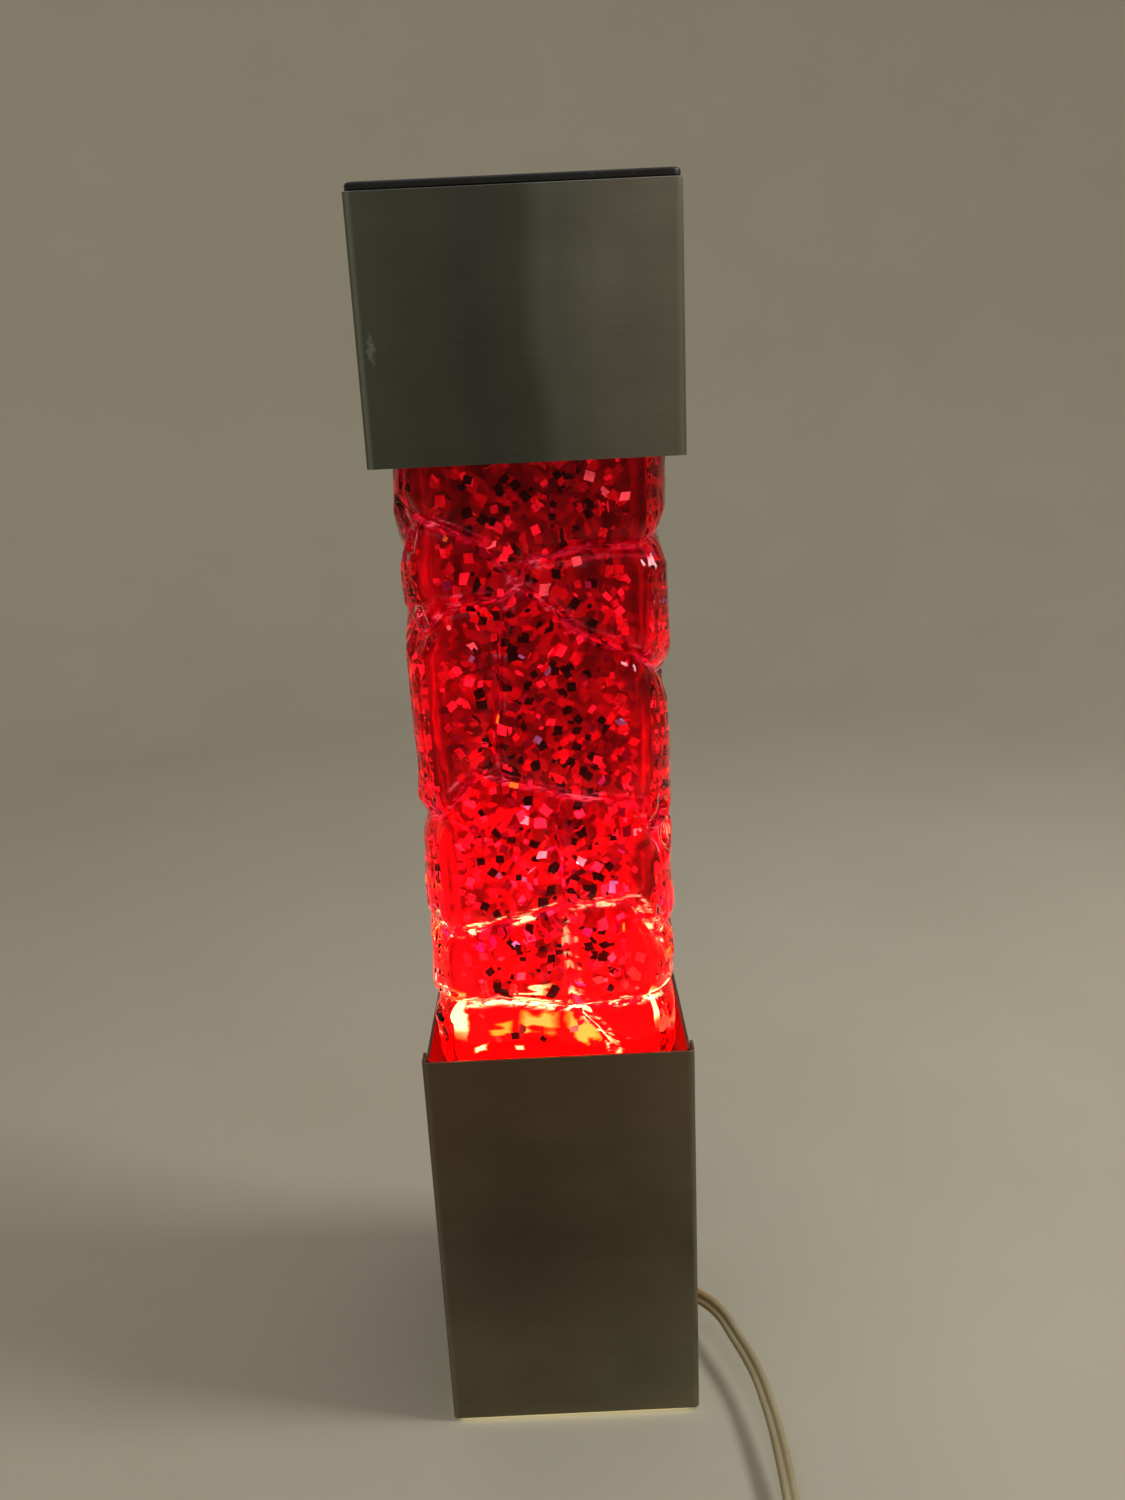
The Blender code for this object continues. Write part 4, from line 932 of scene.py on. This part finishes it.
# Each face's grooves in millimetres: across from its middle, to the right as it is seen, and up
FRONT = [
    [(-38, 325), (-15, 316), (-4, 303)], [(38, 313), (20, 314), (0, 311), (-4, 303)],
    [(-4, 303), (10, 290), (38, 277)], [(-38, 289), (-28, 298), (-10, 300), (-4, 303)],
    [(-9, 300), (-13, 276), (-14, 242)], [(-38, 229), (-21, 245), (5, 237), (30, 233), (38, 221)],
    [(5, 237), (4, 220), (5, 200)], [(-38, 190), (-20, 193), (5, 200), (28, 200), (38, 186)],
    [(5, 200), (6, 166)], [(-38, 165), (-18, 167), (6, 163), (38, 165)], [(6, 166), (17, 148)],
]
RIGHT = [
    [(-38, 313), (-10, 320), (14, 305), (38, 322)], [(-38, 277), (-14, 268), (20, 280), (38, 270)],
    [(14, 305), (20, 280)], [(-14, 268), (-10, 236)],
    [(-38, 221), (-10, 236), (18, 228), (38, 236)], [(18, 228), (12, 196)],
    [(-38, 186), (12, 196), (38, 188)], [(12, 196), (8, 166)], [(-38, 165), (8, 166), (38, 162)],
]
REAR = [
    [(-38, 322), (-6, 308), (38, 318)], [(-6, 308), (2, 284)], [(-38, 270), (2, 284), (38, 281)],
    [(2, 284), (-6, 240)], [(-38, 236), (-6, 240), (38, 225)], [(-6, 240), (4, 194)],
    [(-38, 188), (4, 194), (38, 196)], [(4, 194), (-4, 165)], [(-38, 162), (-4, 165), (38, 164)],
]
LEFT = [
    [(-38, 318), (-8, 326), (10, 302), (38, 325)], [(10, 302), (38, 289)],
    [(10, 302), (-12, 272), (-38, 281)], [(-12, 272), (-4, 232)],
    [(-38, 225), (-4, 232), (38, 229)], [(-4, 232), (10, 198)], [(-38, 196), (10, 198), (38, 190)],
    [(10, 198), (2, 166)], [(-38, 164), (2, 166), (38, 165)],
]
SEGMENTS = []
for side, grooves in enumerate((FRONT, RIGHT, REAR, LEFT)):
    for groove in grooves:
        corners = np.array(groove) * MM + ((side + 0.5) * FACE, 0)
        SEGMENTS += zip(corners, corners[1:])


def waves(count, shortest, longest, seed, spread=math.pi):
    """Random ripples that join up all the way round the bottle, upright if the spread is small."""
    source = np.random.default_rng(seed)
    made = []
    for _ in range(count):
        length, angle = source.uniform(shortest, longest) * MM, source.uniform(-spread, spread)
        laps = round(GIRTH / length * math.cos(angle))
        rise = TURN / length * math.sin(angle)
        made.append((TURN * laps / GIRTH, rise, source.uniform(0, TURN)))
    return made


def ripple(ripples, s, z):
    return sum(np.sin(a * s + b * z + c) for a, b, c in ripples) / math.sqrt(len(ripples) / 2)


CORE_DEPTH = 4.4 * MM  # of the glow behind the inside of the glass
SWELL, WRINKLE = waves(14, 22, 50, 3), waves(26, 4, 11, 4)
FLUTES, WARP = waves(16, 4, 9, 6, 0.07), waves(10, 18, 40, 8)
FACET_REACH = np.random.default_rng(5).uniform(4, 9, len(SEGMENTS)) * MM


def groove_distance(s, z):
    """How far the nearest groove is, how far up the nearest sloping facet, and how strongly a glow
    is painted along the groove: most where it runs level, with a fainter line along one side."""
    nearest, facet, light = np.full(s.shape, np.inf), np.ones(s.shape), np.zeros(s.shape)
    s = s + 0.55 * MM * ripple(WARP, s, z)
    for (a, b), reach in zip(SEGMENTS, FACET_REACH):
        d = b - a
        across = 0.2 + 0.8 * abs(d[0]) / np.linalg.norm(d)
        for lap in (-GIRTH, 0, GIRTH):
            px, pz = s - a[0] - lap, z - a[1]
            t = np.clip((px * d[0] + pz * d[1]) / (d @ d), 0, 1)
            away = np.hypot(px - t * d[0], pz - t * d[1])
            nearest, facet = np.minimum(nearest, away), np.minimum(facet, away / reach)
            # The painted glow: a line just off the groove, and a fainter echo along one side
            line = np.exp(-(((away - 0.55 * MM) / (0.42 * MM)) ** 2))
            echo = np.exp(-(((away - 2.7 * MM) / (0.36 * MM)) ** 2)) * (px * d[1] < pz * d[0])
            light = np.maximum(light, across * np.maximum(line, 0.7 * echo))
    return nearest, facet, light


def rock_fade(z):
    return np.interp(z, (ROCK_LOW - 6 * MM, ROCK_LOW, ROCK_HIGH, ROCK_HIGH + 5 * MM), (0, 1, 1, 0))


def rise(s, z, distances=None):
    """How far the glass stands out of its grooves, in metres: a steep notch, then a flat facet."""
    fade = rock_fade(z)
    d, facet, _ = distances or groove_distance(s, z)
    soft = np.sqrt(d * d + (0.35 * MM) ** 2) - 0.35 * MM
    relief = NOTCH_SHARE * (1 - np.exp(-soft / NOTCH_REACH)) + (1 - NOTCH_SHARE) * facet
    height = ROCK_HEIGHT * (PLAIN_RISE + (relief - PLAIN_RISE) * fade)
    wrinkles = (0.03 + 0.09 * np.exp(-d / (5 * MM))) * ripple(WRINKLE, s, z)
    off_middle = np.abs((s + FACE) % FACE - FACE / 2)
    flutes = 0.06 * np.interp(off_middle, (20 * MM, 33 * MM), (0.1, 1)) * ripple(FLUTES, s, z)
    return height + fade * MM * (0.30 * ripple(SWELL, s, z) * relief + wrinkles + flutes)


# The bottle's section of half width 1, all the way round, and how near each place is to a corner
side, along = np.divmod(4 * np.arange(AROUND) / AROUND, 1)
across = 2 * along - 1
SECTION = np.stack(superellipse(np.arctan2(-1, across) + side * TURN / 4, CORNER_POWER))
CORNER = np.interp(np.abs(across), (0.79, 0.91), (0, 1))
ROUND = GIRTH * np.arange(AROUND) / AROUND
# Rings of the foot and of the inside's floor: share of the body's first ring, millimetres up
FOOT_RINGS = [
    (0.2, 3), (0.45, 3), (0.7, 2), (0.8, 1), (0.88, 0.1), (0.93, 0), (0.957, 0.1), (0.975, 0.55),
    (0.988, 1.2), (0.997, 2.2),
]
FLOOR_RINGS = [(0.2, 0), (0.5, 0), (0.8, 0), (0.93, 0.5), (0.98, 1.6)]
NECK = [
    (NECK_RADIUS, 1.0), (NECK_RADIUS - 0.5 * MM, 0.1), (NECK_RADIUS - 1.2 * MM, 0),
    (NECK_BORE + 0.8 * MM, 0), (NECK_BORE, 0.6),
]
LIQUID_GAP, LIQUID_TOP = 0.25 * MM, 356 * MM
CORE_LOW, CORE_HIGH, CORE_STEP = 134 * MM, 342 * MM, 1.5 * MM
CORE_FOOT, CORE_HEAD = ((0.3, 3), (0.75, 2.6), (0.93, 1.4)), ((0.93, 2.5), (0.75, 5), (0.3, 7))


def body_rings(levels, heights, inset, share):
    half = GROOVE_HALF_WIDTH - inset + share * heights
    z = np.repeat(levels[:, None], AROUND, axis=1)
    return np.stack([half * SECTION[0], half * SECTION[1], z], axis=2)


def shoulder_rings(start, high, radius, top=math.inf):
    """From the body's last ring, rounding in to the neck's circle, and no higher than the top."""
    neck = round_ring(radius, np.arctan2(start[:, 1], start[:, 0]), 0)
    rings = []
    for t in np.sin(np.linspace(0, math.pi / 2, 17)[1:]):
        z = SHOULDER_START + t * (high - SHOULDER_START)
        mix = 1 - math.sqrt(max(0.0, 1 - t * t))
        if z <= top:
            rings.append(shrunk(start + (neck - start) * mix, 1, z))
    return rings


def shrunk(ring, share, z):
    return level_ring(ring[:, 0] * share, ring[:, 1] * share, z)


def hollow(levels, heights, gap=0.0, top=math.inf):
    """Rings of the bottle's inside, or of the liquid a gap within it."""
    body = body_rings(levels, heights, WALL + gap, INSIDE_ROCK)
    floor = [shrunk(body[0], s, GLASS_FLOOR + gap + h * MM) for s, h in FLOOR_RINGS]
    return [*floor, *body, *shoulder_rings(body[-1], NECK_START - WALL, NECK_BORE - gap, top)]


def make_bottle(glass, inner_wall, liquid_skin, glow):
    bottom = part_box("bottle_glass")[0].z
    foot_levels = bottom + np.array((3.4, 6, 12, 18)) * MM
    levels = np.concatenate([foot_levels, np.arange(140 * MM, SHOULDER_START, 0.65 * MM)])
    grid = np.meshgrid(ROUND, levels)
    distances = groove_distance(*grid)
    heights = rise(*grid, distances)
    body = body_rings(levels, heights, 0, 1)
    foot = [shrunk(body[0], s, bottom + h * MM) for s, h in FOOT_RINGS]
    shoulder = shoulder_rings(body[-1], NECK_START, NECK_RADIUS)
    angles = np.arctan2(shoulder[-1][:, 1], shoulder[-1][:, 0])
    neck = [round_ring(r, angles, NECK_TOP - down * MM) for r, down in NECK]
    outside = [*foot, *body, *shoulder, *neck]
    wet = np.flatnonzero(levels > GLASS_FLOOR + 3 * MM)[::3]
    wet = levels[wet], heights[wet]
    rings = outside + hollow(*wet)[::-1]
    mesh = skin(rings)
    inner = np.zeros(len(mesh.polygons), dtype=np.int32)
    inner[len(outside) * AROUND:] = 1
    inner[-2] = 0  # the foot's flat middle
    mesh.polygons.foreach_set("material_index", inner)
    # The glow painted along the grooves, faded out with the relief
    painted_crease_glow = np.zeros((len(rings), AROUND, 4), np.float32)
    painted_crease_glow[len(foot):len(foot) + len(body), :, :3] = (distances[2] * rock_fade(grid[1]))[..., None]
    layer = mesh.color_attributes.new("painted_crease_glow", "FLOAT_COLOR", "POINT")
    layer.data.foreach_set("color", painted_crease_glow.ravel())
    nodes = ("bottle_glass",)
    piece("rock_glass", mesh, (glass, inner_wall), "bottle", nodes, sharp=0)

    mesh = skin(hollow(*wet, LIQUID_GAP, LIQUID_TOP))
    nodes = ("bottle_liquid",)
    piece("glitter_liquid", mesh, liquid_skin, "bottle", nodes, sharp=0)

    # The painted glow stands back from the faces, which leaves room for flakes, and fills the
    # corners
    levels = np.arange(CORE_LOW, CORE_HIGH, CORE_STEP)
    inset, share = WALL + CORE_DEPTH * (1 - 0.8 * CORNER), 0.3 + 0.35 * CORNER
    core = body_rings(levels, rise(*np.meshgrid(ROUND, levels)), inset, share)
    below = [shrunk(core[0], s, CORE_LOW - h * MM) for s, h in CORE_FOOT]
    above = [shrunk(core[-1], s, levels[-1] + h * MM) for s, h in CORE_HEAD]
    mesh = skin([*below, *core, *above])
    piece("painted_liquid_glow", mesh, glow, "bottle", (), sharp=0)


FLAKES, FLAKE_THICK = 4300, 0.06 * MM
# What a flake looks like: share of all, its own colour, its painted glow for each unit of the
# liquid's
KINDS = [
    (0.46, (0.012, 0.002, 0.003), (0.03, 0.0, 0.0)), (0.19, (0.2, 0.01, 0.02), (0.5, 0.0, 0.01)),
    (0.18, (0.6, 0.02, 0.03), (1.9, 0.005, 0.02)), (0.12, (0.8, 0.04, 0.06), (4.2, 0.03, 0.10)),
    (0.012, (0.5, 0.12, 0.14), (6.0, 0.5, 0.6)), (0.008, (1.0, 0.35, 0.05), (3.0, 0.5, 0.02)),
    (0.008, (0.35, 0.32, 0.5), (0.9, 0.22, 0.5)), (0.022, (0.25, 0.03, 0.12), (1.2, 0.01, 0.14)),
]
SQUARE = [(-1, -1), (1, -1), (1, 1), (-1, 1)]


def make_flakes(finish):
    """Square flakes of metallised film, hanging at every depth behind the glass."""
    shares = np.array([k[0] for k in KINDS])
    verts, faces, tints, glows = [], [], [], []
    heights = rng.uniform(150 * MM, 351 * MM, FLAKES)
    places = (rng.integers(0, 4, FLAKES) + 0.5) * FACE + rng.uniform(-1, 1, FLAKES) * 32.5 * MM
    for s, z, stand in zip(places, heights, rise(places, heights)):
        if z < FOOT[1] and rng.uniform() > 0.18:
            continue
        depth = rng.uniform(0.9, 4.3) * MM
        half = GROOVE_HALF_WIDTH - WALL + INSIDE_ROCK * stand
        in_shoulder = z - (SHOULDER_START - 3 * MM)
        if in_shoulder > 0:
            half *= 1 - 0.35 * in_shoulder / (11 * MM)
        x, y = SECTION[:, int(s / GIRTH * AROUND) % AROUND]
        centre = np.array(((half - depth) * x, (half - depth) * y, z))
        outward = np.array((x, y, 0.0))
        outward[np.argmin(np.abs(outward[:2]))] *= 0.3
        loose = min(1.0, 0.35 + depth / (5 * MM))
        normal = unit(unit(outward) + rng.normal(0, 0.55 * loose, 3))
        across = unit(np.cross(normal, rng.normal(0, 1, 3)))
        up = np.cross(normal, across)
        size = (rng.choice((1.4, 1.05, 0.65), p=(0.5, 0.3, 0.2)) + rng.normal(0, 0.05)) * MM
        ratio = 1.0 if rng.uniform() < 0.8 else rng.uniform(0.5, 0.8)
        kind = rng.choice(len(KINDS), p=shares / shares.sum())
        if kind == 0 and abs(s % FACE - FACE / 2) > 23 * MM:
            kind = 2  # the glass's corners would draw dark ones out into dashes
        _, tint, glow = KINDS[kind]
        # The glow painted on each flake follows the liquid's painted glow at its height, dimmer
        # deeper in and yellower near the bulb
        lit = float(np.interp(z, *np.transpose(GLOW))) * rng.uniform(0.6, 1.4)
        glow = np.array(glow) * lit * (1.0 - 0.3 * depth / CORE_DEPTH) * (1, 4, 4)
        glow[1] += glow[0] * 0.22 * np.clip((0.185 - z) / 0.04, 0, 1) * rng.uniform()
        q = len(verts)
        square = np.array(SQUARE) * size * (1, ratio) @ (across, up)
        for lift in (FLAKE_THICK / 2, -FLAKE_THICK / 2):
            verts += [*(centre + square + normal * lift)]
        tints += [(*tint, 1)] * 8
        glows += [(*glow, 1)] * 8
        faces += [(q, q + 1, q + 2, q + 3), (q + 7, q + 6, q + 5, q + 4)]
        faces += [(q + k, q + 4 + k, q + 4 + (k + 1) % 4, q + (k + 1) % 4) for k in range(4)]
    mesh = bpy.data.meshes.new("glitter_flakes")
    mesh.from_pydata(np.array(verts).tolist(), [], faces)
    for name, values in (("tint", tints), ("glow", glows)):
        layer = mesh.color_attributes.new(name, "FLOAT_COLOR", "POINT")
        layer.data.foreach_set("color", np.array(values, np.float32).ravel())
    piece("glitter_flakes", mesh, finish, "bottle", (), sharp=30)


def make_closure(metal):
    low, high, _, half = box("closure_cap")
    r, foot, top, bore = half.x / MM, low.z / MM, high.z / MM, 15.6
    angles = np.linspace(0, TURN, 240, endpoint=False)
    knurled = r - 0.22 * (0.5 - 0.5 * np.cos(60 * angles))
    profile = [
        (1, top - 0.35), (r - 3.2, top - 0.35), (r - 2.6, top - 0.05), (r - 1.2, top),
        (r - 0.4, top - 0.35), (r - 0.1, top - 1), (knurled, top - 1.6), (knurled, foot + 2.4),
        (r - 0.1, foot + 1.9), (r - 0.35, foot + 1.5), (r - 0.1, foot + 1.1), (r, foot + 0.4),
        (r - 0.3, foot), (bore, foot), (bore, top - 1), (1, top - 1),
    ]
    mesh = skin(np.array([round_ring(a, angles, z) for a, z in profile]) * MM)
    piece("knurled_closure", mesh, metal, "bottle", ("closure_cap",), sharp=35)


# Stage and lights

def make_stage(finish):
    profile = [(r, 0) for r in (0, 200, 400, 600, 800, 950)]
    profile += arc(950, 450, 450, -82, -2, 10) + [(1400, 800), (1400, 1300)]
    mesh = turned(profile, 128)
    mesh.shade_smooth()
    mesh.materials.append(finish)
    add("studio_floor", mesh)


def softbox(name, at, target, size, power, color):
    light = bpy.data.lights.new(name, "AREA")
    light.shape, light.size, light.energy, light.color = "SQUARE", size, power, color
    turn = (Vector(at) - Vector(target)).to_track_quat("Z", "Y").to_matrix()
    add(name, light, Matrix.Translation(at) @ turn.to_4x4())


def make_lights():
    world = bpy.data.worlds.new("studio")
    world.use_nodes = True
    sky = world.node_tree.nodes["Background"]
    sky.inputs["Color"].default_value = (1.0, 0.93, 0.88, 1)
    sky.inputs["Strength"].default_value = 0.235
    bpy.context.scene.world = world
    softbox("key", (0.78, -0.12, 0.92), (0, 0, 0.15), 0.22, 4.6, (1.0, 0.97, 0.9))
    softbox("overhead", (-0.1, -0.2, 1.5), (0, 0, 0.1), 1.1, 2.9, (1.0, 0.95, 0.91))
    # The bulb's light that comes out under the base
    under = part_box("base_floor_tray")[0].z - 0.3 * MM
    softbox("vent_spill", (0, 0, under), (0, 0, 0), 0.086, 0.07, (1.0, 0.86, 0.48))
    bpy.context.scene.view_settings.view_transform = "Standard"


# Everything together

make_camera()
flex = gold_flex()
black = moulded("black_moulding", (0.009, 0.009, 0.0105), 0.45)
cord, cord_path, cord_length = make_cord(flex)
brass = plain_metal("worn_brass", (0.76, 0.55, 0.26), 0.3)
on_cord = make_switch(black) + make_plug(black, brass) + [make_tie(black)]

base_steel, cap_steel = base_metal(), cap_metal()
rubber = moulded("soft_rubber", (0.02, 0.02, 0.021), 0.75, grain=1500, depth=0.04 * MM)
soft_metal = plain_metal("spun_aluminium", (0.74, 0.74, 0.75), 0.32, grain=(200, 200, 1800))
stem_glass = glass_finish("stem_glass").data
# What the CAD's own materials become, where its nodes are seen
FINISHES = {
    "brushed_metal": base_steel, "aluminium": soft_metal, "brass": brass,
    "plated_steel": plain_metal("zinc_plate", (0.60, 0.59, 0.56), 0.34),
    "black_steel": plain_metal("black_enamel", (0.035, 0.033, 0.03), 0.48, 0.6, metallic=0.2),
    "tungsten": plain_metal("hot_tungsten", (0.4, 0.36, 0.33), 0.4),
    "phenolic": moulded("brown_phenolic", (0.045, 0.026, 0.018), 0.38, 900, 0.05 * MM),
    "wire_insulation": moulded("core_insulation", (0.52, 0.38, 0.19), 0.4, 1200),
    "rubber": rubber, "black_plastic": black, "gold_pvc": flex,
    "clear_glass": stem_glass, "frosted_glass": stem_glass, "red_liquid": stem_glass,
}
for place in ("front", "rear"):
    for part, steel in (("base", base_steel), ("cap", cap_steel)):
        name = f"{part}_{place}"
        channel(f"{name}_channel", f"{name}_panel", steel, part, place == "rear")
make_lid(black)
make_rivets(soft_metal)
make_feet(rubber)
make_grommet(rubber)
make_bulb(lit_bulb(), soft_metal)
wetted_wall = glass_finish("wetted_wall", (0.99, 0.98, 0.98), GLASS_TO_LIQUID).data
make_bottle(rock_crystal(), wetted_wall, liquid_edge(), liquid_glow())
make_flakes(flake_finish())
make_closure(soft_metal)

for name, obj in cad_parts.items():
    finish = FINISHES[obj.material_slots[0].material.name]
    if name.startswith("cap_") and finish is base_steel:
        finish = cap_steel
    for slot in obj.material_slots:
        slot.material = finish

make_stage(floor_finish())
make_lights()
